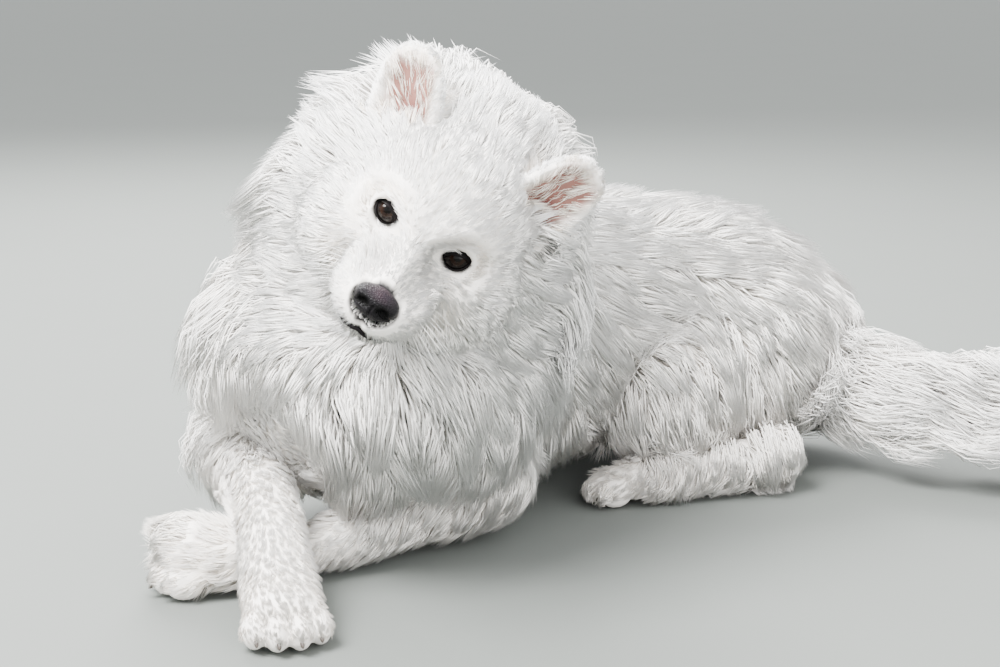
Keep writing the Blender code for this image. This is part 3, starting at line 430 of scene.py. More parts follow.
# The lie of the coat: place, way the hair runs, then length, width and rise of a tuft, and how many grow.
coat = {
    "body": (
        ((-0.290, -0.200, 0.200), (-0.15, -0.15, -1.0), 0.075, 0.0042, 0.046, 9.0),
        ((-0.250, -0.180, 0.110), (0.1, 0.1, -1.0), 0.065, 0.0040, 0.036, 9.0),
        ((-0.200, -0.220, 0.200), (0.1, -0.2, -1.0), 0.070, 0.0042, 0.044, 9.0),
        ((-0.288, 0.005, 0.265), (-0.25, 0.25, -0.9), 0.085, 0.0044, 0.060, 9.0),
        ((-0.240, 0.030, 0.140), (-0.1, 0.2, -1.0), 0.075, 0.0042, 0.048, 9.0),
        ((-0.268, -0.080, 0.400), (-0.5, 0.6, -0.2), 0.075, 0.0042, 0.052, 9.0),
        ((-0.200, -0.130, 0.460), (-0.1, 0.6, 0.3), 0.070, 0.0042, 0.050, 9.0),
        ((-0.110, -0.130, 0.480), (0.6, 0.5, 0.3), 0.075, 0.0042, 0.056, 9.0),
        ((-0.020, -0.190, 0.400), (0.7, 0.1, -0.2), 0.080, 0.0042, 0.056, 9.0),
        ((0.046, -0.177, 0.265), (0.5, -0.2, -0.8), 0.085, 0.0044, 0.060, 9.0),
        ((0.000, -0.230, 0.260), (0.3, -0.3, -0.9), 0.080, 0.0042, 0.055, 9.0),
        ((0.030, -0.190, 0.120), (0.3, -0.2, -0.9), 0.075, 0.0042, 0.048, 9.0),
        ((-0.080, -0.240, 0.140), (0.05, -0.1, -1.0), 0.070, 0.0042, 0.044, 9.0),
        ((-0.020, -0.020, 0.420), (0.8, 0.4, -0.2), 0.085, 0.0044, 0.058, 9.0),
        ((-0.130, 0.100, 0.320), (0.3, 0.7, -0.6), 0.085, 0.0044, 0.060, 9.0),
        ((-0.050, 0.140, 0.160), (0.5, 0.4, -0.8), 0.075, 0.0042, 0.044, 8.0),
        ((0.040, 0.010, 0.345), (1.0, 0.05, -0.1), 0.070, 0.0042, 0.038, 7.0),
        ((0.200, 0.000, 0.335), (1.0, -0.1, -0.1), 0.060, 0.0042, 0.033, 7.0),
        ((0.350, -0.030, 0.310), (0.9, -0.35, -0.25), 0.062, 0.0042, 0.033, 7.0),
        ((0.460, -0.090, 0.240), (0.45, -0.75, -0.6), 0.068, 0.0042, 0.033, 7.0),
        ((0.440, -0.130, 0.190), (0.3, -0.9, -0.45), 0.075, 0.0040, 0.034, 9.0),
        ((0.490, -0.080, 0.150), (0.55, -0.75, -0.4), 0.070, 0.0040, 0.032, 8.0),
        ((0.030, -0.140, 0.200), (0.6, -0.1, -0.75), 0.070, 0.0042, 0.036, 7.5),
        ((0.150, -0.130, 0.200), (0.75, -0.1, -0.6), 0.060, 0.0042, 0.031, 7.5),
        ((0.120, -0.140, 0.070), (0.7, -0.1, -0.5), 0.055, 0.0040, 0.028, 7.5),
        ((0.360, -0.190, 0.160), (0.45, -0.3, -0.8), 0.055, 0.0040, 0.026, 8.0),
        ((0.280, -0.180, 0.150), (0.2, -0.2, -0.95), 0.060, 0.0038, 0.026, 8.0),
        ((0.280, -0.190, 0.090), (0.1, -0.45, -0.9), 0.065, 0.0036, 0.034, 9.0),
        ((0.200, -0.150, 0.130), (0.3, -0.2, -0.9), 0.050, 0.0036, 0.023, 8.0),
        ((0.200, -0.150, 0.080), (0.1, -0.45, -0.9), 0.060, 0.0036, 0.032, 9.0),
        ((0.000, 0.160, 0.200), (0.75, 0.2, -0.6), 0.070, 0.0042, 0.036, 6.5),
        ((0.140, 0.170, 0.200), (0.8, 0.05, -0.6), 0.060, 0.0042, 0.031, 6.5),
        ((0.390, 0.140, 0.160), (0.6, 0.1, -0.8), 0.055, 0.0042, 0.026, 6.5),
        ((0.240, 0.190, 0.120), (0.4, 0.1, -0.9), 0.050, 0.0040, 0.022, 6.5),
        ((-0.211, 0.060, 0.130), (-0.3, -0.3, -0.9), 0.045, 0.0030, 0.018, 12.0),
        ((-0.230, 0.030, 0.045), (0.5, 0.4, -0.6), 0.050, 0.0030, 0.016, 12.0),
        ((-0.270, -0.040, 0.130), (-0.35, -0.7, -0.35), 0.022, 0.0016, 0.008, 30.0),
        ((-0.300, -0.097, 0.120), (-0.4, -0.8, -0.3), 0.018, 0.0014, 0.006, 36.0),
        ((-0.330, -0.156, 0.098), (-0.4, -0.8, -0.5), 0.015, 0.0013, 0.005, 40.0),
        ((-0.360, -0.205, 0.072), (-0.4, -0.8, -0.45), 0.015, 0.0013, 0.005, 40.0),
        ((-0.385, -0.265, 0.030), (-0.4, -0.9, -0.3), 0.011, 0.0013, 0.004, 40.0),
        ((-0.041, -0.150, 0.060), (-0.3, -0.4, -0.8), 0.040, 0.0028, 0.016, 12.0),
        ((-0.152, -0.140, 0.060), (-0.8, -0.1, -0.5), 0.026, 0.0022, 0.010, 18.0),
        ((-0.152, -0.080, 0.020), (-0.4, 0.6, -0.6), 0.035, 0.0024, 0.012, 14.0),
        ((-0.240, -0.120, 0.045), (-0.9, 0.2, -0.3), 0.020, 0.0020, 0.008, 20.0),
        ((-0.340, -0.080, 0.074), (-0.7, 0.4, 0.3), 0.020, 0.0019, 0.010, 20.0),
        ((-0.350, -0.030, 0.060), (-0.5, 0.6, 0.5), 0.045, 0.0026, 0.026, 14.0),
        ((-0.395, -0.045, 0.025), (-0.9, 0.3, -0.3), 0.014, 0.0018, 0.007, 22.0),
        ((0.314, -0.225, 0.060), (-0.1, -0.5, -0.8), 0.040, 0.0022, 0.016, 16.0),
        ((0.224, -0.180, 0.040), (-0.5, -0.3, -0.5), 0.030, 0.0020, 0.012, 18.0),
        ((0.146, -0.125, 0.035), (-0.9, -0.1, -0.3), 0.018, 0.0016, 0.007, 24.0),
        ((0.329, 0.180, 0.060), (-0.2, 0.3, -0.8), 0.026, 0.0022, 0.010, 16.0),
        ((0.234, 0.195, 0.040), (-0.8, 0.1, -0.4), 0.018, 0.0020, 0.007, 18.0),
        ((0.152, 0.178, 0.035), (-0.9, 0.0, -0.3), 0.014, 0.0018, 0.006, 20.0),
        ((0.464, -0.140, 0.150), (0.2, -1.0, -0.05), 0.095, 0.0038, 0.044, 12.0),
        ((0.430, -0.150, 0.080), (0.25, -0.9, -0.35), 0.090, 0.0038, 0.046, 12.0),
        ((0.430, -0.200, 0.100), (-0.05, -0.95, -0.2), 0.090, 0.0038, 0.046, 12.0),
        ((0.464, -0.220, 0.140), (0.2, -0.9, 0.4), 0.100, 0.0038, 0.052, 12.0),
        ((0.505, -0.220, 0.090), (0.7, -0.7, 0.1), 0.100, 0.0038, 0.050, 12.0),
        ((0.430, -0.300, 0.080), (-0.2, -0.9, -0.2), 0.100, 0.0038, 0.052, 12.0),
        ((0.500, -0.340, 0.120), (0.5, -0.7, 0.5), 0.110, 0.0038, 0.056, 12.0),
        ((0.540, -0.310, 0.080), (0.9, -0.3, 0.2), 0.110, 0.0038, 0.056, 12.0),
        ((0.480, -0.390, 0.060), (0.4, -0.9, -0.3), 0.100, 0.0038, 0.052, 12.0),
        ((0.560, -0.380, 0.120), (0.5, -0.2, 0.75), 0.120, 0.0038, 0.066, 13.0),
        ((0.610, -0.405, 0.110), (0.75, -0.25, 0.55), 0.120, 0.0038, 0.062, 13.0),
        ((0.600, -0.440, 0.060), (0.8, -0.6, -0.1), 0.100, 0.0038, 0.050, 12.0),
        ((0.630, -0.390, 0.070), (1.0, 0.0, 0.1), 0.100, 0.0038, 0.050, 12.0),
        ((0.690, -0.446, 0.050), (1.0, -0.25, 0.05), 0.080, 0.0036, 0.026, 12.0),
    ),
    "head": (
        ((0.090, 0.0, -0.014), (-1.0, 0.0, 0.25), 0.007, 0.0012, 0.0022, 60.0),
        ((0.060, 0.0, 0.000), (-1.0, 0.0, 0.25), 0.010, 0.0013, 0.0030, 55.0),
        ((0.030, 0.0, 0.004), (-0.9, 0.0, 0.5), 0.013, 0.0014, 0.0042, 50.0),
        ((0.095, 0.022, -0.045), (-0.9, 0.4, -0.3), 0.010, 0.0012, 0.0040, 60.0),
        ((0.070, 0.038, -0.040), (-0.95, 0.35, -0.25), 0.018, 0.0013, 0.0085, 55.0),
        ((0.040, 0.042, -0.035), (-0.9, 0.45, -0.25), 0.024, 0.0014, 0.0120, 45.0),
        ((0.080, 0.022, -0.062), (-0.7, 0.25, -0.7), 0.012, 0.0013, 0.0045, 55.0),
        ((0.050, 0.034, -0.062), (-0.7, 0.3, -0.65), 0.018, 0.0014, 0.0070, 45.0),
        ((0.090, 0.0, -0.072), (-0.5, 0.0, -0.85), 0.012, 0.0013, 0.0045, 50.0),
        ((0.040, 0.0, -0.080), (-0.8, 0.0, -0.6), 0.020, 0.0015, 0.0080, 40.0),
        ((0.008, 0.012, 0.010), (-0.5, 0.1, 0.85), 0.014, 0.0014, 0.0048, 45.0),
        ((-0.002, 0.037, 0.026), (-0.5, 0.25, 0.85), 0.016, 0.0015, 0.0060, 42.0),
        ((-0.006, 0.062, 0.010), (-0.7, 0.6, 0.4), 0.016, 0.0015, 0.0060, 42.0),
        ((0.004, 0.045, -0.020), (-0.7, 0.55, -0.45), 0.018, 0.0015, 0.0065, 42.0),
        ((0.010, 0.022, -0.012), (-0.8, 0.5, -0.1), 0.012, 0.0013, 0.0040, 48.0),
        ((-0.025, 0.0, 0.055), (-0.8, 0.0, 0.6), 0.022, 0.0017, 0.0080, 34.0),
        ((-0.025, 0.045, 0.050), (-0.75, 0.2, 0.6), 0.022, 0.0017, 0.0085, 34.0),
        ((-0.065, 0.0, 0.080), (-1.0, 0.0, 0.3), 0.028, 0.0020, 0.0110, 28.0),
        ((-0.060, 0.050, 0.065), (-0.9, 0.2, 0.45), 0.026, 0.0019, 0.0110, 30.0),
        ((-0.120, 0.0, 0.070), (-1.0, 0.0, 0.0), 0.045, 0.0028, 0.0200, 18.0),
        ((-0.040, 0.075, 0.010), (-0.7, 0.65, 0.1), 0.028, 0.0019, 0.0120, 28.0),
        ((-0.020, 0.070, -0.030), (-0.65, 0.6, -0.45), 0.030, 0.0019, 0.0130, 28.0),
        ((-0.060, 0.088, -0.030), (-0.7, 0.6, -0.4), 0.042, 0.0024, 0.0220, 22.0),
        ((-0.040, 0.070, -0.070), (-0.55, 0.5, -0.7), 0.042, 0.0024, 0.0220, 22.0),
        ((0.000, 0.045, -0.072), (-0.6, 0.35, -0.7), 0.030, 0.0019, 0.0130, 26.0),
        ((-0.010, 0.0, -0.090), (-0.6, 0.0, -0.8), 0.034, 0.0022, 0.0150, 22.0),
        ((-0.090, 0.085, -0.010), (-0.8, 0.55, -0.2), 0.055, 0.0030, 0.0300, 16.0),
        ((-0.100, 0.060, -0.080), (-0.6, 0.5, -0.7), 0.055, 0.0032, 0.0300, 14.0),
    ),
    "bendy": 0.30,    # how far the way of the hair wanders
    "clumping": 0.62,  # how far tips draw together into locks
    "fineness": 0.62,  # share of the chart's width that a tuft gets, where it is wider than fineFrom
    "fineFrom": 0.0022,
    "more": 1.18,     # how many more tufts grow there
    "loose": 0.05,    # share of thin single hairs that stand off the coat
    "seed": 41,
    "longFrom": 0.074,   # tufts from this length have two bends, shorter ones one
    "shortTo": 0.0215,   # tufts below this length are straight
}
pieces = (  # name of a coat piece, the node that it clothes, and a place in its middle
    ("coatHeadLeft", "head", (-0.19, -0.27, 0.31)), ("coatHeadRight", "head", (-0.27, -0.20, 0.37)),
    ("coatNeckFront", "neck", (-0.26, -0.14, 0.17)), ("coatNeckLeft", "neck", (-0.04, -0.18, 0.27)),
    ("coatNeckRight", "neck", (-0.24, 0.0, 0.30)), ("coatNeckBack", "neck", (-0.05, -0.03, 0.36)),
    ("coatTorsoLeft", "torso", (0.10, -0.13, 0.16)), ("coatTorsoRight", "torso", (0.08, 0.15, 0.16)),
    ("coatTorsoTop", "torso", (0.16, 0.01, 0.30)), ("coatHips", "hips", (0.42, -0.05, 0.24)),
    ("coatHindLegLeft", "hind_leg_left", (0.30, -0.16, 0.12)),
    ("coatHindLegRight", "hind_leg_right", (0.32, 0.13, 0.12)),
    ("coatForelegRight", "foreleg_right", (-0.32, -0.13, 0.07)),
    ("coatForelegLeft", "foreleg_left", (-0.25, -0.09, 0.04)),
    ("coatTail", "tail", (0.47, -0.24, 0.09)), ("coatTailPlume", "tail_plume", (0.60, -0.41, 0.07)),
)


def readTriangles(item):
    item.data.calc_loop_triangles()
    count = len(item.data.loop_triangles)
    corners = np.empty(count * 3, dtype=np.int32)
    item.data.loop_triangles.foreach_get("vertices", corners)
    return corners.reshape(-1, 3)


def readChart():
    rows = []
    for place, way, *sizes in coat["body"]:
        rows.append((*place, *Vector(way).normalized(), *sizes))
    for place, way, *sizes in coat["head"]:
        for side in (1, -1) if place[1] else (1,):
            spot = atHead((place[0], side * place[1], place[2]))
            run = headAxes @ Vector((way[0], side * way[1], way[2])).normalized()
            rows.append((*spot, *run, *sizes))
    rows = np.array(rows)
    wide = rows[:, 7] > coat["fineFrom"]
    rows[wide, 7] *= coat["fineness"]
    rows[wide, 9] *= coat["more"]
    return rows


chart = readChart()


def combAt(points):
    # blends the chart's rows by their nearness to each point
    away = ((points[:, None, :] - chart[None, :, :3]) ** 2).sum(axis=2)
    share = 1.0 / (away + 0.00006) ** 2.5
    share /= share.sum(axis=1, keepdims=True)
    way = share @ chart[:, 3:6]
    way /= np.linalg.norm(way, axis=1, keepdims=True) + 1e-9
    return way, share @ chart[:, 6:]


# Length, width and rise of a tuft on the ear, and how many grow.
earHair = {
    "outside": (0.016, 0.0014, 0.0050, 40.0),
    "cup": (0.022, 0.0009, 0.0085, 9.0),
    "rim": (0.011, 0.0013, 0.0048, 75.0),
}


def earComb(points, normals, way, sizes):
    # on the ears the coat follows the ear's own shape: outwards at the rim, up the back, sparse in the cup
    for side in (1, -1):
        _, _, rise, across, back = earFrame(side)
        t, y, z = inEar(points, side)
        wide = ears["halfWidth"] * np.sqrt(np.clip(1.0 - np.clip(t, 0.0, 1.0) ** 3.2, 0.05, 1.0))
        s = y / wide
        on = (t > 0.10) & (t < 1.2) & (np.abs(y) < 0.042) & (z > -0.016) & (z < 0.040)
        facing = (normals @ headArray) @ np.array(back)
        rim = np.clip((np.maximum(np.abs(s), t * 1.02) - 0.72) / 0.2, 0.0, 1.0)
        inner = on & (facing < 0.15)
        outer = on & (facing >= 0.15)
        outwards = np.sign(s)[:, None] * np.abs(s)[:, None] * np.array(across) + t[:, None] * np.array(rise)
        upwards = np.array(rise)[None, :] + 0.35 * np.sign(s)[:, None] * np.array(across)
        run = outwards * rim[:, None] + upwards * (1.0 - rim[:, None])
        run /= np.linalg.norm(run, axis=1, keepdims=True) + 1e-9
        run = run @ headArray.T
        way[on] = run[on]
        sizes[outer] = np.array(earHair["outside"])
        sizes[inner] = np.array(earHair["cup"])
        sizes[on & (rim > 0.30)] = np.array(earHair["rim"])
    fold = faceFolds(points)[:, None]
    sizes[:, (0, 2)] *= 1.0 - 0.50 * fold
    return way, sizes


def faceFolds(points):
    # how deep each place lies in the creases round the eyes and beside the muzzle
    f, l, u = localHead(points).T
    fold = np.zeros(len(points))
    for side in (1, -1):
        outer = side * l - 0.5 * eyes["spacing"]
        ring = np.hypot(outer + 0.002, u - 0.001)
        span = np.exp(-(((np.arctan2(u, outer) - 0.6) / 1.5) ** 2)) * (f > -0.045)
        fold = np.maximum(fold, span * np.exp(-(((ring - 0.0215) / 0.0055) ** 2)))
        beside = np.sqrt(((f - 0.018) / 1.6) ** 2 + (side * l - 0.050) ** 2 + ((u + 0.040) / 1.5) ** 2)
        fold = np.maximum(fold, 0.6 * np.exp(-((beside / 0.013) ** 2)))
    return fold


def wander(points, scale, shift):
    # a smooth wave through space, between -1 and 1
    x, y, z = (points * scale + shift).T
    first = np.sin(x + 1.7 * np.sin(y))
    second = np.sin(1.3 * y + 1.1 * np.sin(z))
    third = np.sin(0.9 * z + 1.3 * np.sin(x))
    return (first + second + third) / 3.0


def bareShare(points, normals):
    # no coat on the nose's seat, the lids, under the chest or on the soles
    f, l, u = localHead(points).T
    keep = np.ones(len(points))
    keep[(f > 0.086) & ((l / 0.021) ** 2 + ((u + 0.030) / 0.017) ** 2 < 1.0)] = 0.0
    for side in (1, -1):
        keep[(eyeAway(l, u, side, eyes["bare"]) ** 2 < 1.15) & (f > -0.035)] = 0.0
    keep[(points[:, 2] < 0.012) | ((normals[:, 2] < -0.80) & (points[:, 2] < 0.10))] = 0.0
    return keep


def spreadRoots(item, maker):
    points = readPoints(item)
    corners = readTriangles(item)
    a, b, c = (points[corners[:, k]] for k in range(3))
    cross = np.cross(b - a, c - a)
    area = 0.5 * np.linalg.norm(cross, axis=1)
    normals = cross / (2.0 * area[:, None] + 1e-12)
    middles = (a + b + c) / 3.0
    way, sizes = combAt(middles)
    way, sizes = earComb(middles, normals, way, sizes)
    wanted = area * 10000.0 * sizes[:, 3] * bareShare(middles, normals)
    number = maker.poisson(wanted)
    index = np.repeat(np.arange(len(number)), number)
    u, v = maker.random(len(index)), maker.random(len(index))
    over = u + v > 1.0
    u[over], v[over] = 1.0 - u[over], 1.0 - v[over]
    places = a[index] + (b - a)[index] * u[:, None] + (c - a)[index] * v[:, None]
    return places, normals[index]


def marchTufts(tree, places, normals, maker):
    # each tuft's middle line creeps over the skin along the lie and rises towards its tip
    way, sizes = combAt(places)
    way, sizes = earComb(places, normals, way, sizes)
    count = len(places)
    length = sizes[:, 0] * maker.uniform(0.65, 1.20, count)
    rise = sizes[:, 2] * maker.uniform(0.45, 1.08, count)
    loose = maker.random(count) < coat["loose"]
    length[loose] *= 1.15
    rise[loose] *= 1.15
    sizes[loose, 1] *= 0.5
    swing = coat["bendy"] * (wander(places, 38.0, 0.0) + 0.6 * wander(places, 120.0, 3.0))
    swing += maker.normal(0.0, 0.13, count)
    steps = 3
    line = np.empty((steps + 1, count, 3))
    out = np.empty((steps + 1, count, 3))
    spot = places.copy()
    normal = normals.copy()
    for i in range(steps + 1):
        if i:
            for k in range(count):
                near, facing, _, _ = tree.find_nearest(spot[k])
                spot[k] = near
                normal[k] = facing
        t = i / steps
        along = way - normal * (way * normal).sum(axis=1, keepdims=True)
        along /= np.linalg.norm(along, axis=1, keepdims=True) + 1e-9
        aside = np.cross(normal, along)
        turned = along * np.cos(swing * (0.4 + t))[:, None] + aside * np.sin(swing * (0.4 + t))[:, None]
        lift = -0.0015 + (rise + 0.0015) * math.sin(0.5 * math.pi * t) ** 0.9
        line[i] = spot + normal * lift[:, None]
        out[i] = normal
        spot = spot + turned * (length / steps)[:, None]
    return line, out, sizes, length


def drawTogether(line, places, sizes, maker):
    # tips near each other lean to one middle, so that the coat breaks into locks
    count = len(places)
    chosen = maker.random(count) < np.clip(0.020 * (0.05 / sizes[:, 0]), 0.0, 0.2)
    middles = np.nonzero(chosen)[0]
    tree = KDTree(len(middles))
    for i, k in enumerate(middles):
        tree.insert(places[k], i)
    tree.balance()
    nearest = np.array([middles[tree.find(place)[1]] for place in places])
    for i in range(1, 4):
        t = i / 3.0
        pull = coat["clumping"] * t**1.4
        gap = line[i][nearest] - line[i]
        far = np.linalg.norm(gap, axis=1, keepdims=True)
        gap *= np.minimum(1.0, 0.6 * sizes[:, 0:1] / (far + 1e-9))
        line[i] += gap * pull
    return line


def unwrapSkin(item):
    # a coarse copy of the skin is unwrapped, and each tuft reads its place there
    copy = item.copy()
    copy.data = item.data.copy()
    bpy.context.scene.collection.objects.link(copy)
    applyModifier(copy, "DECIMATE", ratio=0.05)
    bpy.ops.object.mode_set(mode="EDIT")
    bpy.ops.mesh.select_all(action="SELECT")
    bpy.ops.uv.smart_project(angle_limit=math.radians(66.0), island_margin=0.004)
    bpy.ops.object.mode_set(mode="OBJECT")
    corners = readTriangles(copy)
    points = readPoints(copy)
    loops = np.empty(len(corners) * 3, dtype=np.int32)
    copy.data.loop_triangles.foreach_get("loops", loops)
    layer = np.empty(len(copy.data.loops) * 2)
    copy.data.uv_layers.active.data.foreach_get("uv", layer)
    layer = layer.reshape(-1, 2)[loops.reshape(-1, 3)]
    tree = BVHTree.FromPolygons(points.tolist(), corners.tolist())
    bpy.data.objects.remove(copy, do_unlink=True)
    return tree, points[corners], layer


def placeOnUnwrap(unwrap, places):
    tree, triangles, layer = unwrap
    spots = np.empty((len(places), 2))
    for i, place in enumerate(places):
        near, _, k, _ = tree.find_nearest(place)
        a, b, c = triangles[k]
        ab, ac, ap = b - a, c - a, np.array(near) - a
        d00, d01, d11 = ab @ ab, ab @ ac, ac @ ac
        d20, d21 = ap @ ab, ap @ ac
        low = d00 * d11 - d01 * d01 + 1e-18
        v, w = (d11 * d20 - d01 * d21) / low, (d00 * d21 - d01 * d20) / low
        spots[i] = layer[k][0] * (1.0 - v - w) + layer[k][1] * v + layer[k][2] * w
    return spots


def tuftMesh(line, out, sizes, spots, tones, keepRows):
    # closed three-sided tufts with a point, as one mesh
    rows, count = len(keepRows), line.shape[1]
    swell = {4: (0.8, 1.0, 0.62), 3: (0.9, 0.85), 2: (1.0,)}[rows]
    verts = np.empty((count, 3 * (rows - 1) + 1, 3))
    shade = np.empty((count, 3 * (rows - 1) + 1, 4))
    for j, i in enumerate(keepRows[:-1]):
        nxt = keepRows[j + 1]
        along = line[nxt] - line[i]
        aside = np.cross(out[i], along)
        aside /= np.linalg.norm(aside, axis=1, keepdims=True) + 1e-12
        top = np.cross(along, aside)
        top /= np.linalg.norm(top, axis=1, keepdims=True) + 1e-12
        half = (0.5 * sizes[:, 1] * swell[j])[:, None]
        verts[:, 3 * j] = line[i] - aside * half - top * half * 0.3
        verts[:, 3 * j + 1] = line[i] + aside * half - top * half * 0.3
        verts[:, 3 * j + 2] = line[i] + top * half * 0.55
        shade[:, 3 * j:3 * j + 3, 0] = i / 3.0
    verts[:, -1] = line[3]
    shade[:, -1, 0] = 1.0
    shade[:, :, 1] = tones[:, 0][:, None]
    shade[:, :, 2] = tones[:, 1][:, None]
    shade[:, :, 3] = 1.0 - tones[:, 2][:, None]
    verts[:, :, 2] = np.maximum(verts[:, :, 2], 0.0008)
    pattern = [(0, 2, 1)]
    for j in range(rows - 2):
        for k in range(3):
            m = (k + 1) % 3
            pattern += [(3 * j + k, 3 * j + m, 3 * j + 3 + m), (3 * j + k, 3 * j + 3 + m, 3 * j + 3 + k)]
    last = 3 * (rows - 2)
    pattern += [(last + k, last + (k + 1) % 3, 3 * (rows - 1)) for k in range(3)]
    pattern = np.array(pattern)
    step = 3 * (rows - 1) + 1
    faces = (pattern[None] + (np.arange(count) * step)[:, None, None]).reshape(-1, 3)
    patch = np.empty((step, 2))
    for j in range(rows - 1):
        patch[3 * j:3 * j + 3, 0] = (-0.0015, 0.0015, 0.0)
        patch[3 * j:3 * j + 3, 1] = -0.0015 + 0.003 * j / (rows - 1)
    patch[-1] = (0.0, 0.0015)
    flat = (spots[:, None, :] + patch[None]).reshape(-1, 2)
    return verts.reshape(-1, 3), faces, shade.reshape(-1, 4), flat


def coatPiece(name, node, parts, finish):
    verts, faces, shades, flats = [], [], [], []
    start = 0
    for v, f, s, uv in parts:
        verts.append(v)
        faces.append(f + start)
        shades.append(s)
        flats.append(uv)
        start += len(v)
    verts, faces = np.concatenate(verts), np.concatenate(faces)
    shades, flats = np.concatenate(shades), np.concatenate(flats)
    mesh = bpy.data.meshes.new(name)
    mesh.vertices.add(len(verts))
    mesh.vertices.foreach_set("co", verts.ravel())
    mesh.loops.add(faces.size)
    mesh.loops.foreach_set("vertex_index", faces.ravel().astype(np.int32))
    mesh.polygons.add(len(faces))
    mesh.polygons.foreach_set("loop_start", np.arange(0, faces.size, 3, dtype=np.int32))
    mesh.update(calc_edges=True)
    mesh.attributes.new("tuftShade", "FLOAT_COLOR", "POINT")
    mesh.attributes["tuftShade"].data.foreach_set("color", shades.ravel())
    mesh.uv_layers.new(name="OFBake")
    mesh.uv_layers["OFBake"].data.foreach_set("uv", flats[faces.ravel()].ravel())
    mesh.shade_smooth()
    mesh.materials.append(finish)
    item = bpy.data.objects.new(name, mesh)
    bpy.context.scene.collection.objects.link(item)
    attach(item, "root")
    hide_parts(node)
    print(name, len(faces), "faces")
    return item


headCoat = {"radii": (0.17, 0.125, 0.115), "shift": (-0.1, 0.0, 0.0)}  # tufts inside go to the head's pieces


def growCoat(skinItem, finish):
    maker = np.random.default_rng(coat["seed"])
    tree = BVHTree.FromObject(skinItem, bpy.context.evaluated_depsgraph_get())
    places, normals = spreadRoots(skinItem, maker)
    print("tufts", len(places))
    line, out, sizes, length = marchTufts(tree, places, normals, maker)
    line = drawTogether(line, places, sizes, maker)
    spots = placeOnUnwrap(unwrapSkin(skinItem), places)
    # the warm share carries painted shade in the creases and low on the body, beside the coat's own cream
    tones = np.stack([maker.random(len(places)), creamAndShadeShare(places), darkShare(places, maker)], axis=1)
    anchors = np.array([row[2] for row in pieces])
    shrunk = localHead(places) / np.array(headCoat["radii"]) - np.array(headCoat["shift"])
    onHead = np.linalg.norm(shrunk, axis=1)
    owner = np.linalg.norm(places[:, None] - anchors[None], axis=2)
    owner[:, :2] += np.where(onHead < 1.0, -1.0, 1.0)[:, None]
    owner = owner.argmin(axis=1)
    made = []
    for number, (name, node, _) in enumerate(pieces):
        parts = []
        long, short = sizes[:, 0] >= coat["longFrom"], sizes[:, 0] < coat["shortTo"]
        for keepRows, kind in (((0, 1, 2, 3), long), ((0, 1, 3), ~long & ~short), ((0, 3), short)):
            chosen = kind & (owner == number)
            if chosen.any():
                rows = (line[:, chosen], out[:, chosen], sizes[chosen], spots[chosen], tones[chosen])
                parts.append(tuftMesh(*rows, keepRows))
        made.append(coatPiece(name, node, parts, finish))
    return made


def darkShare(points, maker):
    # dark hairs among the white ones above the nose and on the front of the lips
    f, l, u = localHead(points).T
    lips = 0.85 * np.exp(-(((u + 0.060) / 0.008) ** 2) - (l / 0.024) ** 2) * (f > 0.080)
    bridge = 0.45 * np.exp(-(((u + 0.010) / 0.007) ** 2) - (l / 0.016) ** 2) * (f > 0.080)
    return (maker.random(len(points)) < lips + bridge) * 0.85


def creamAndShadeShare(points):
    # cream in the ears and pinker low on the legs; the cream in the creases round the eyes and beside the
    # muzzle, and the cream low on the body, is painted shade
    warm = 0.22 + 0.2 * wander(points, 9.0, 1.0)
    # painted shade: creamier towards the ground, where less light falls
    warm += 0.3 * np.clip((0.10 - points[:, 2]) / 0.10, 0.0, 1.0)
    # painted shade: cream in the creases round the eyes and beside the muzzle
    warm += 1.1 * faceFolds(points)
    for side in (1, -1):
        t, y, z = inEar(points, side)
        warm += 1.3 * (t > 0.05) * (t < 0.9) * (np.abs(y) < 0.024) * (np.abs(z) < 0.028)
    legs = np.clip((0.13 - points[:, 2]) / 0.08, 0.0, 1.0) * np.clip((-0.20 - points[:, 0]) / 0.05, 0.0, 1.0)
    warm += 0.5 * legs * (0.5 + 0.5 * wander(points, 30.0, 4.0))
    return np.clip(warm, 0.0, 1.0)


def nodeGroup(name, inputs, output):
    group = bpy.data.node_groups.new(name, "ShaderNodeTree")
    for label, kind, value in inputs:
        socket = group.interface.new_socket(name=label, in_out="INPUT", socket_type=kind)
        socket.default_value = value
    group.interface.new_socket(name=output, in_out="OUTPUT", socket_type="NodeSocketColor")
    return group, group.nodes.new("NodeGroupInput"), group.nodes.new("NodeGroupOutput")


def mixColours(tree, share, first, second, kind="MIX"):
    node = tree.nodes.new("ShaderNodeMix")
    node.data_type = "RGBA"
    node.blend_type = kind
    for socket, value in ((node.inputs[0], share), (node.inputs[6], first), (node.inputs[7], second)):
        if isinstance(value, bpy.types.NodeSocket):
            tree.links.new(value, socket)
        else:
            socket.default_value = value
    return node.outputs[2]


def calculate(tree, kind, first, second=0.5):
    node = tree.nodes.new("ShaderNodeMath")
    node.operation = kind
    for socket, value in zip(node.inputs, (first, second)):
        if isinstance(value, bpy.types.NodeSocket):
            tree.links.new(value, socket)
        else:
            socket.default_value = value
    return node.outputs[0]


def newMaterial(name, roughness):
    material = bpy.data.materials.new(name)
    material.use_nodes = True
    shader = material.node_tree.nodes["Principled BSDF"]
    shader.inputs["Roughness"].default_value = roughness
    return material, material.node_tree, shader


def readAttribute(tree, name):
    node = tree.nodes.new("ShaderNodeAttribute")
    node.attribute_name = name
    split = tree.nodes.new("ShaderNodeSeparateColor")
    tree.links.new(node.outputs["Color"], split.inputs[0])
    return [*split.outputs, node.outputs["Alpha"]]


def noiseAt(tree, scale, detail=3.0):
    place = tree.nodes.new("ShaderNodeTexCoord")
    noise = tree.nodes.new("ShaderNodeTexNoise")
    noise.inputs["Scale"].default_value = scale
    noise.inputs["Detail"].default_value = detail
    tree.links.new(place.outputs["Object"], noise.inputs["Vector"])
    return noise.outputs["Fac"]


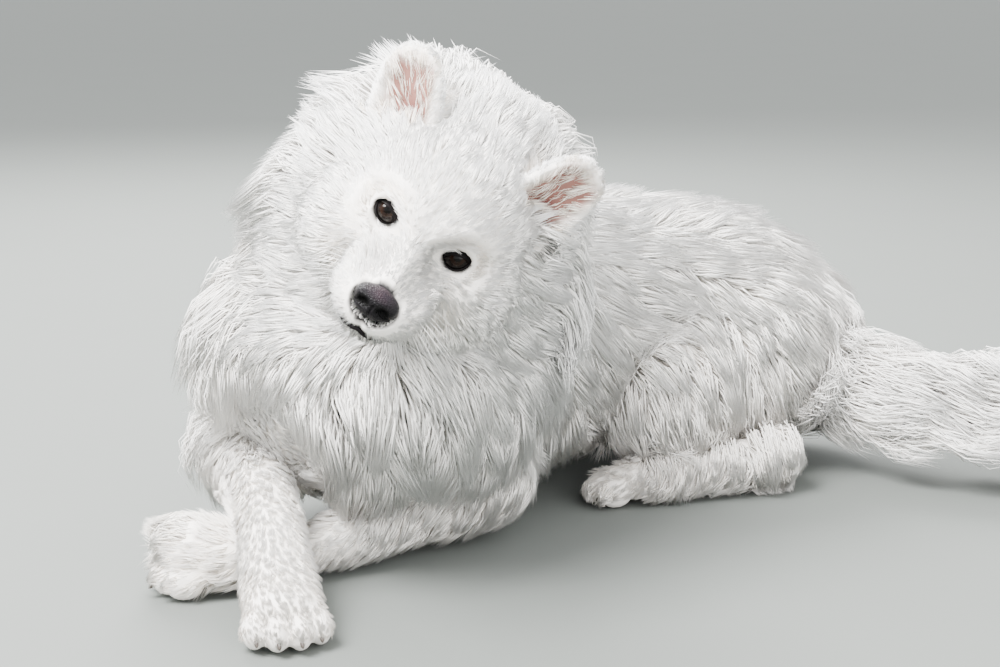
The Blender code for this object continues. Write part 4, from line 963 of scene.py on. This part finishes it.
def bumpFrom(tree, shader, height, depth, strength):
    bump = tree.nodes.new("ShaderNodeBump")
    bump.inputs["Distance"].default_value = depth
    bump.inputs["Strength"].default_value = strength
    tree.links.new(height, bump.inputs["Height"])
    tree.links.new(bump.outputs["Normal"], shader.inputs["Normal"])


def makeToneGroup():
    # a hair's colour from root to tip, a little different on each tuft; the darker cream towards the root is
    # painted shade deep in the coat
    group, start, end = nodeGroup(
        "hairTone",
        (
            ("Along", "NodeSocketFloat", 0.5),
            ("Chance", "NodeSocketFloat", 0.5),
            ("Warmth", "NodeSocketFloat", 0.2),
            ("ShadedRoot", "NodeSocketColor", (0.8, 0.74, 0.66, 1.0)),
            ("Tip", "NodeSocketColor", (0.95, 0.94, 0.92, 1.0)),
            ("Warm", "NodeSocketColor", (0.86, 0.76, 0.64, 1.0)),
        ),
        "Colour",
    )
    # painted shade: the colour darkens towards the root
    along = calculate(group, "POWER", start.outputs["Along"], 0.55)
    base = mixColours(group, along, start.outputs["ShadedRoot"], start.outputs["Tip"])
    lean = calculate(group, "MULTIPLY_ADD", start.outputs["Chance"], 0.55)
    lean.node.inputs[2].default_value = 0.30
    # the warmth brings painted shade in the creases and low on the body as well as cream tone
    share = calculate(group, "MULTIPLY", start.outputs["Warmth"], lean)
    warm = mixColours(group, share, base, start.outputs["Warm"])
    bright = calculate(group, "MULTIPLY_ADD", start.outputs["Chance"], 0.10)
    bright.node.inputs[2].default_value = 0.91
    combine = group.nodes.new("ShaderNodeCombineColor")
    for k in range(3):
        group.links.new(bright, combine.inputs[k])
    group.links.new(mixColours(group, 1.0, warm, combine.outputs[0], "MULTIPLY"), end.inputs["Colour"])
    return group


def hairMaterial(name, group, root, tip, warm):
    material, tree, shader = newMaterial(name, 0.55)
    shader.inputs["Sheen Weight"].default_value = 0.15
    shader.inputs["Sheen Roughness"].default_value = 0.6
    shader.inputs["Specular IOR Level"].default_value = 0.25
    tone = tree.nodes.new("ShaderNodeGroup")
    tone.node_tree = group
    read = readAttribute(tree, "tuftShade")
    for k, label in enumerate(("Along", "Chance", "Warmth")):
        tree.links.new(read[k], tone.inputs[label])
    for label, value in (("ShadedRoot", root), ("Tip", tip), ("Warm", warm)):
        tone.inputs[label].default_value = (*value, 1.0)
    colour = mixColours(tree, read[3], (0.03, 0.026, 0.026, 1.0), tone.outputs["Colour"])
    tree.links.new(colour, shader.inputs["Base Color"])
    return material


def skinMaterial():
    material, tree, shader = newMaterial("paleSkin", 0.6)
    read = readAttribute(tree, "skinShade")
    pale = mixColours(tree, noiseAt(tree, 40.0), (0.93, 0.89, 0.84, 1.0), (0.90, 0.84, 0.78, 1.0))
    flesh = mixColours(tree, noiseAt(tree, 90.0), (0.26, 0.105, 0.085, 1.0), (0.38, 0.19, 0.150, 1.0))
    pink = mixColours(tree, read[1], pale, flesh)
    # painted shade: dark red at the ear canal's opening
    pink = mixColours(tree, read[2], pink, (0.11, 0.018, 0.016, 1.0))
    dark = mixColours(tree, read[0], pink, (0.006, 0.0045, 0.0045, 1.0))
    tree.links.new(dark, shader.inputs["Base Color"])
    bumpFrom(tree, shader, noiseAt(tree, 900.0), 0.0004, 0.5)
    return material


def markSkin(item):
    # dark round the eyes, nose and mouth, pink in the cups of the ears, and dark red painted shade where each
    # ear's canal opens
    points = readPoints(item)
    f, l, u = localHead(points).T
    shade = np.zeros((len(points), 4))
    shade[:, 3] = 1.0
    for side in (1, -1):
        away = eyeAway(l, u, side, eyes["rim"])
        shade[:, 0] = np.maximum(shade[:, 0], np.clip((1.02 - away) / 0.2, 0.0, 1.0) * (f > -0.04))
        t, y, z = inEar(points, side)
        cup = np.clip(t * 6.0, 0.0, 1.0) * np.clip((0.026 - np.abs(y)) / 0.008, 0.0, 1.0)
        cup *= np.clip((0.95 - t) / 0.2, 0.0, 1.0) * (np.abs(z) < 0.03)
        # painted shade: dark red where the ear canal opens, which is not hollowed out
        canalShade = np.exp(-(((t - 0.16) / 0.20) ** 2) - ((y - 0.004) / 0.012) ** 2) * (np.abs(z) < 0.03)
        shade[:, 1] = np.maximum(shade[:, 1], cup)
        shade[:, 2] = np.maximum(shade[:, 2], np.clip(canalShade * 1.3, 0.0, 1.0))
    seat = np.sqrt((l / 0.021) ** 2 + ((u + 0.032) / 0.018) ** 2)
    behind = np.clip((f - 0.088) / 0.004, 0.0, 1.0) * np.clip((1.1 - seat) / 0.15, 0.0, 1.0)
    shade[:, 0] = np.maximum(shade[:, 0], behind)
    for row in mouthLine(8):
        away = np.sqrt((f - row[0]) ** 2 + (l - row[1]) ** 2 + (u - row[2]) ** 2)
        shade[:, 0] = np.maximum(shade[:, 0], np.clip((0.0065 - away) / 0.002, 0.0, 1.0))
    item.data.attributes.new("skinShade", "FLOAT_COLOR", "POINT")
    item.data.attributes["skinShade"].data.foreach_set("color", shade.ravel())


def finishPiece(item, material, slotName, *nodes):
    item.data.materials.clear()
    item.data.materials.append(material)
    item.data.shade_smooth()
    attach(item, "root")
    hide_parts(*nodes)
    return item


def makeEye(side, material):
    name = "eyeballLeft" if side > 0 else "eyeballRight"
    middle = atHead((-eyes["back"], side * 0.5 * eyes["spacing"], 0.0))
    item = settle(addBall(middle, [eyes["radius"]] * 3, None, 5), name)
    gaze = (Vector(view["place"]) - middle).normalized()
    rings = np.zeros(len(item.data.vertices))
    for i, vert in enumerate(item.data.vertices):
        out = (vert.co - middle).normalized()
        lean = math.acos(max(-1.0, min(1.0, out.dot(gaze))))
        rings[i] = lean
        vert.co += out * eyes["bulge"] * max(0.0, 1.0 - (lean / 0.62) ** 2)
    item.data.attributes.new("fromGaze", "FLOAT", "POINT")
    item.data.attributes["fromGaze"].data.foreach_set("value", rings)
    return finishPiece(item, material, "eye", "eye_left" if side > 0 else "eye_right")


def eyeMaterial():
    material, tree, shader = newMaterial("wetBrownEye", 0.10)
    shader.inputs["Specular IOR Level"].default_value = 0.06
    shader.inputs["Coat Weight"].default_value = 0.16
    shader.inputs["Coat Roughness"].default_value = 0.02
    node = tree.nodes.new("ShaderNodeAttribute")
    node.attribute_name = "fromGaze"
    ramp = tree.nodes.new("ShaderNodeValToRGB")
    rows = (
        (0.00, (0.0012, 0.001, 0.001)), (0.21, (0.0012, 0.001, 0.001)), (0.27, (0.006, 0.0028, 0.0016)),
        (0.46, (0.011, 0.0048, 0.0026)), (0.66, (0.006, 0.003, 0.002)), (0.76, (0.0025, 0.0018, 0.0016)),
        (0.90, (0.006, 0.0045, 0.004)), (1.00, (0.010, 0.008, 0.0075)),
    )
    for place, colour in rows[2:]:
        ramp.color_ramp.elements.new(place)
    for element, (place, colour) in zip(ramp.color_ramp.elements, rows):
        element.position = place
        element.color = (*colour, 1.0)
    tree.links.new(node.outputs["Fac"], ramp.inputs["Fac"])
    speckle = mixColours(tree, noiseAt(tree, 1400.0), (0.75, 0.75, 0.75, 1.0), (1.25, 1.25, 1.25, 1.0))
    tree.links.new(mixColours(tree, 1.0, ramp.outputs[0], speckle, "MULTIPLY"), shader.inputs["Base Color"])
    return material


def makeLids(side, material):
    # a ring bent to an almond that lies on the eyeball
    lid = {"upper": 0.0021, "lower": 0.0016, "lift": 0.0002, "tube": 0.25}
    bpy.ops.mesh.primitive_torus_add(
        major_segments=56, minor_segments=12, major_radius=1.0, minor_radius=lid["tube"]
    )
    item = bpy.context.active_object
    middle = Vector((-eyes["back"], side * 0.5 * eyes["spacing"], 0.0))
    reach = eyes["radius"] + lid["lift"]
    slant = side * eyes["slant"]
    for vert in item.data.vertices:
        turn = math.atan2(vert.co.y, vert.co.x)
        aside = (math.hypot(vert.co.x, vert.co.y) - 1.0) / lid["tube"]
        out = vert.co.z / lid["tube"]
        thick = lid["upper"] if math.sin(turn) > 0 else lid["lower"]
        thick *= 0.65 + 0.35 * abs(math.sin(turn))
        wide, high = eyes["opening"][0] + 0.0006, eyes["opening"][1] * (1.0 - 0.12 * math.cos(turn) ** 2)
        y = wide * math.cos(turn) + aside * thick * math.cos(turn)
        z = high * math.sin(turn) + aside * thick * math.sin(turn)
        depth = math.sqrt(max(reach**2 - y * y - z * z, 0.0)) + out * thick * 0.9 + thick * 0.4
        across, rise = y * math.cos(slant) - z * math.sin(slant), y * math.sin(slant) + z * math.cos(slant)
        vert.co = atHead(middle + Vector((depth, across, rise)))
    settle(item, "lidsLeft" if side > 0 else "lidsRight")
    return finishPiece(item, material, "nose_leather", "head")


def makeNose(material):
    item = settle(addBall(atHead(nose["middle"]), nose["radii"], headAxes, 6), "noseLeather")
    points = readPoints(item)
    f, l, u = (localHead(points) - np.array(nose["middle"])).T
    change = np.zeros_like(points)
    forward, left, top = headArray.T
    for side in (1, -1):
        deep, wide, aside = nose["hole"]
        hole = press(np.hypot((l - side * aside) / 1.3, u + 0.0015), wide) * (f > 0.0)
        change -= (deep * hole)[:, None] * forward
        deep, wide, aside = nose["slit"]
        low = (u + 0.0042 + 0.25 * (side * l - 0.012)) * 2.2
        slit = press(low, wide) * press(side * l - aside, 1.5 * wide)
        change -= (deep * slit)[:, None] * (0.5 * forward + 0.6 * side * left)
        deep, wide, aside = nose["wing"]
        wing = press(np.hypot(l - side * aside, u - 0.0015), wide)
        change += (deep * wing)[:, None] * (0.6 * forward + 0.5 * side * left)
    change -= (0.0018 * press(l, 0.0011) * (u < 0.002) * (f > 0.0))[:, None] * forward
    change -= (0.0026 * press(u - 0.0145, 0.006))[:, None] * top
    points += change
    item.data.vertices.foreach_set("co", points.ravel())
    shade = np.zeros((len(points), 4))
    # paler bluish-mauve top of the nose: painted sky reflection mixed with the leather's own faded pink
    shade[:, 0] = 0.8 * np.clip((u - 0.0050) / 0.008, 0.0, 1.0) * press(l, 0.013)
    # painted shade: darker still inside the nostrils and their side slits
    nostrilShade = np.zeros(len(points))
    for side in (1, -1):
        nostrilShade += press(np.hypot((l - side * 0.0094) / 1.35, u + 0.0018), 0.0046)
        low = (u + 0.0045 + 0.25 * (side * l - 0.012)) * 2.0
        nostrilShade += press(low, 0.0030) * press(side * l - 0.0150, 0.0050)
    shade[:, 1] = np.clip(2.2 * nostrilShade - 0.35, 0.0, 1.0)
    shade[:, 3] = 1.0
    item.data.attributes.new("noseShade", "FLOAT_COLOR", "POINT")
    item.data.attributes["noseShade"].data.foreach_set("color", shade.ravel())
    return finishPiece(item, material, "nose_leather", "nose")


def noseMaterial():
    material, tree, shader = newMaterial("pebbledNose", 0.36)
    shader.inputs["Specular IOR Level"].default_value = 0.10
    read = readAttribute(tree, "noseShade")
    dark = mixColours(tree, noiseAt(tree, 260.0), (0.0035, 0.003, 0.0036, 1.0), (0.009, 0.0078, 0.009, 1.0))
    # painted sky reflection with the leather's faded pink on the top of the nose
    topSheenAndPink = mixColours(tree, noiseAt(tree, 160.0), (0.008, 0.008, 0.013, 1.0), (0.040, 0.022, 0.027, 1.0))
    top = mixColours(tree, read[0], dark, topSheenAndPink)
    # painted shade: near black in the nostrils and slits
    tree.links.new(mixColours(tree, read[1], top, (0.0004, 0.0003, 0.0003, 1.0)), shader.inputs["Base Color"])
    place = tree.nodes.new("ShaderNodeTexCoord")
    cells = tree.nodes.new("ShaderNodeTexVoronoi")
    cells.inputs["Scale"].default_value = 720.0
    tree.links.new(place.outputs["Object"], cells.inputs["Vector"])
    bumpFrom(tree, shader, cells.outputs["Distance"], 0.0010, 0.80)
    return material


def darkLipMaterial():
    material, tree, shader = newMaterial("darkLip", 0.45)
    shader.inputs["Specular IOR Level"].default_value = 0.08
    colour = mixColours(tree, noiseAt(tree, 300.0), (0.0025, 0.002, 0.0022, 1.0), (0.007, 0.0055, 0.006, 1.0))
    tree.links.new(colour, shader.inputs["Base Color"])
    bumpFrom(tree, shader, noiseAt(tree, 1300.0), 0.0003, 0.5)
    return material


def makeLips(material, tree):
    balls = []
    for row in mouthLine(10):
        near, _, _, _ = tree.find_nearest(atHead(row))
        thick = 0.0034 - 0.0016 * min(1.0, abs(row[1]) / 0.045)
        balls.append(addBall(near, (thick * 1.2, thick, thick * 0.8), headAxes, 2))
    item = joinAll(balls, "lips")
    applyModifier(item, "REMESH", mode="VOXEL", voxel_size=0.0007)
    applyModifier(item, "SMOOTH", factor=0.5, iterations=4)
    return finishPiece(item, material, "nose_leather", "head")


def makeClaws(tips, material):
    balls = []
    for place, aim in tips:
        side = aim.cross(up)
        down = (aim * 0.8 - up * 0.6).normalized()
        axes = Matrix((down, side, side.cross(down))).transposed()
        spot = place.copy()
        spot.z = max(spot.z, 0.0075)
        balls.append(addBall(spot, (0.0068, 0.0021, 0.0028), axes, 3))
    item = joinAll(balls, "claws")
    feet = ("forepaw_left", "forepaw_right", "hind_foot_left", "hind_foot_right")
    return finishPiece(item, material, "nose_leather", *feet)


def clawMaterial():
    material, tree, shader = newMaterial("hornClaw", 0.35)
    colour = mixColours(tree, noiseAt(tree, 350.0), (0.035, 0.028, 0.024, 1.0), (0.10, 0.08, 0.065, 1.0))
    tree.links.new(colour, shader.inputs["Base Color"])
    return material


def makeWhiskers(tree, finish):
    whiskers = {"rows": 4, "each": 6, "length": 0.052, "width": 0.0005}
    maker = np.random.default_rng(5)
    places, ways = [], []
    for side in (1, -1):
        for i in range(whiskers["rows"]):
            for k in range(whiskers["each"]):
                place = Vector((0.078 - 0.007 * k, side * 0.045, -0.030 - 0.008 * i))
                places.append(atHead(place))
                ways.append(headAxes @ Vector((0.35 - 0.16 * k, side * 0.9, -0.15 - 0.14 * i)).normalized())
    count = len(places)
    line = np.empty((4, count, 3))
    out = np.empty((4, count, 3))
    lengths = whiskers["length"] * maker.uniform(0.6, 1.1, count)
    for n in range(count):
        near, facing, _, _ = tree.find_nearest(places[n])
        drop = maker.uniform(0.004, 0.014)
        for i in range(4):
            t = i / 3.0
            line[i, n] = near + ways[n] * lengths[n] * t - facing * 0.001 * (1.0 - t) - up * drop * t * t
            out[i, n] = facing
    sizes = np.zeros((count, 4))
    sizes[:, 1] = whiskers["width"]
    tones = np.full((count, 3), (0.8, 0.0, 0.0))
    part = tuftMesh(line, out, sizes, np.full((count, 2), 0.5), tones, (0, 1, 2, 3))
    return coatPiece("whiskers", "head", [part], finish)


# The camera stands where the photo's did, turned to the same frame of 1000 by 667.
view = {
    "place": (-1.280, -1.564, 0.600), "heading": (0.656, 0.755),
    "pitch": math.radians(11.5), "lens": 70.0, "sensor": 36.0,
}
light = {
    "sky": (0.97, 0.985, 1.0), "skyStrength": 2.5,
    "key": ((-1.9, -0.2, 2.9), 1.8, 620.0),  # place, size and power
    "fill": ((-0.2, -3.0, 1.2), 2.4, 70.0),
    "rim": ((1.2, 2.2, 2.4), 1.8, 420.0),
    "floor": (0.120, 0.130, 0.120), "floorSize": 240.0,
}


def makeCamera():
    data = bpy.data.cameras.new("camera")
    data.lens = view["lens"]
    data.sensor_width = view["sensor"]
    item = bpy.data.objects.new("camera", data)
    bpy.context.scene.collection.objects.link(item)
    item.location = view["place"]
    level = Vector((*view["heading"], 0.0)).normalized()
    aim = level * math.cos(view["pitch"]) - up * math.sin(view["pitch"])
    item.rotation_euler = aim.to_track_quat("-Z", "Y").to_euler()
    bpy.context.scene.camera = item


def makeStage():
    deselect()
    bpy.ops.mesh.primitive_plane_add(size=light["floorSize"], location=(0.0, 0.0, 0.0))
    floor = settle(bpy.context.active_object, "floor")
    material, tree, shader = newMaterial("paleFloor", 0.85)
    r, g, b = light["floor"]
    colour = mixColours(tree, noiseAt(tree, 3.0), (r, g, b, 1.0), (r * 1.05, g * 1.05, b * 1.05, 1.0))
    tree.links.new(colour, shader.inputs["Base Color"])
    floor.data.materials.append(material)
    world = bpy.data.worlds.new("sky")
    bpy.context.scene.world = world
    world.use_nodes = True
    world.node_tree.nodes["Background"].inputs[0].default_value = (*light["sky"], 1.0)
    world.node_tree.nodes["Background"].inputs[1].default_value = light["skyStrength"]
    for key in ("key", "fill", "rim"):
        place, size, power = light[key]
        data = bpy.data.lights.new(key, "AREA")
        data.size = size
        data.energy = power
        item = bpy.data.objects.new(key, data)
        bpy.context.scene.collection.objects.link(item)
        item.location = place
        item.rotation_euler = (Vector((0.0, -0.1, 0.2)) - Vector(place)).to_track_quat("-Z", "Y").to_euler()


fleshNodes = [
    "head", "neck", "torso", "hips", "hind_leg_left", "hind_leg_right", "hind_foot_left", "hind_foot_right",
    "foreleg_left", "foreleg_right", "forepaw_left", "forepaw_right", "tail", "tail_plume",
    "ear_left", "ear_right",
]
makeCamera()
makeStage()
print("camera and stage set")
skin, clawTips = makeSkin()
shapeFace(skin)
thinSkin(skin)
markSkin(skin)
print("skin", len(skin.data.polygons), "faces")
finishPiece(skin, skinMaterial(), "white_fur", *fleshNodes)
# the darker root colour is painted shade deep in the coat; the warm cream carries painted shade in the
# creases and low on the body as well as the coat's own cream
hairTones = {"root": (0.93, 0.89, 0.83), "tip": (0.98, 0.975, 0.965), "warm": (0.84, 0.73, 0.60)}
hair = hairMaterial("whiteCoat", makeToneGroup(), **hairTones)
skinTree = BVHTree.FromObject(skin, bpy.context.evaluated_depsgraph_get())
growCoat(skin, hair)
print("coat grown")
wetEye = eyeMaterial()
darkLip = darkLipMaterial()
for side in (1, -1):
    makeEye(side, wetEye)
    makeLids(side, darkLip)
makeNose(noseMaterial())
makeLips(darkLip, skinTree)
makeClaws(clawTips, clawMaterial())
makeWhiskers(skinTree, hair)
print("face, claws and whiskers made")
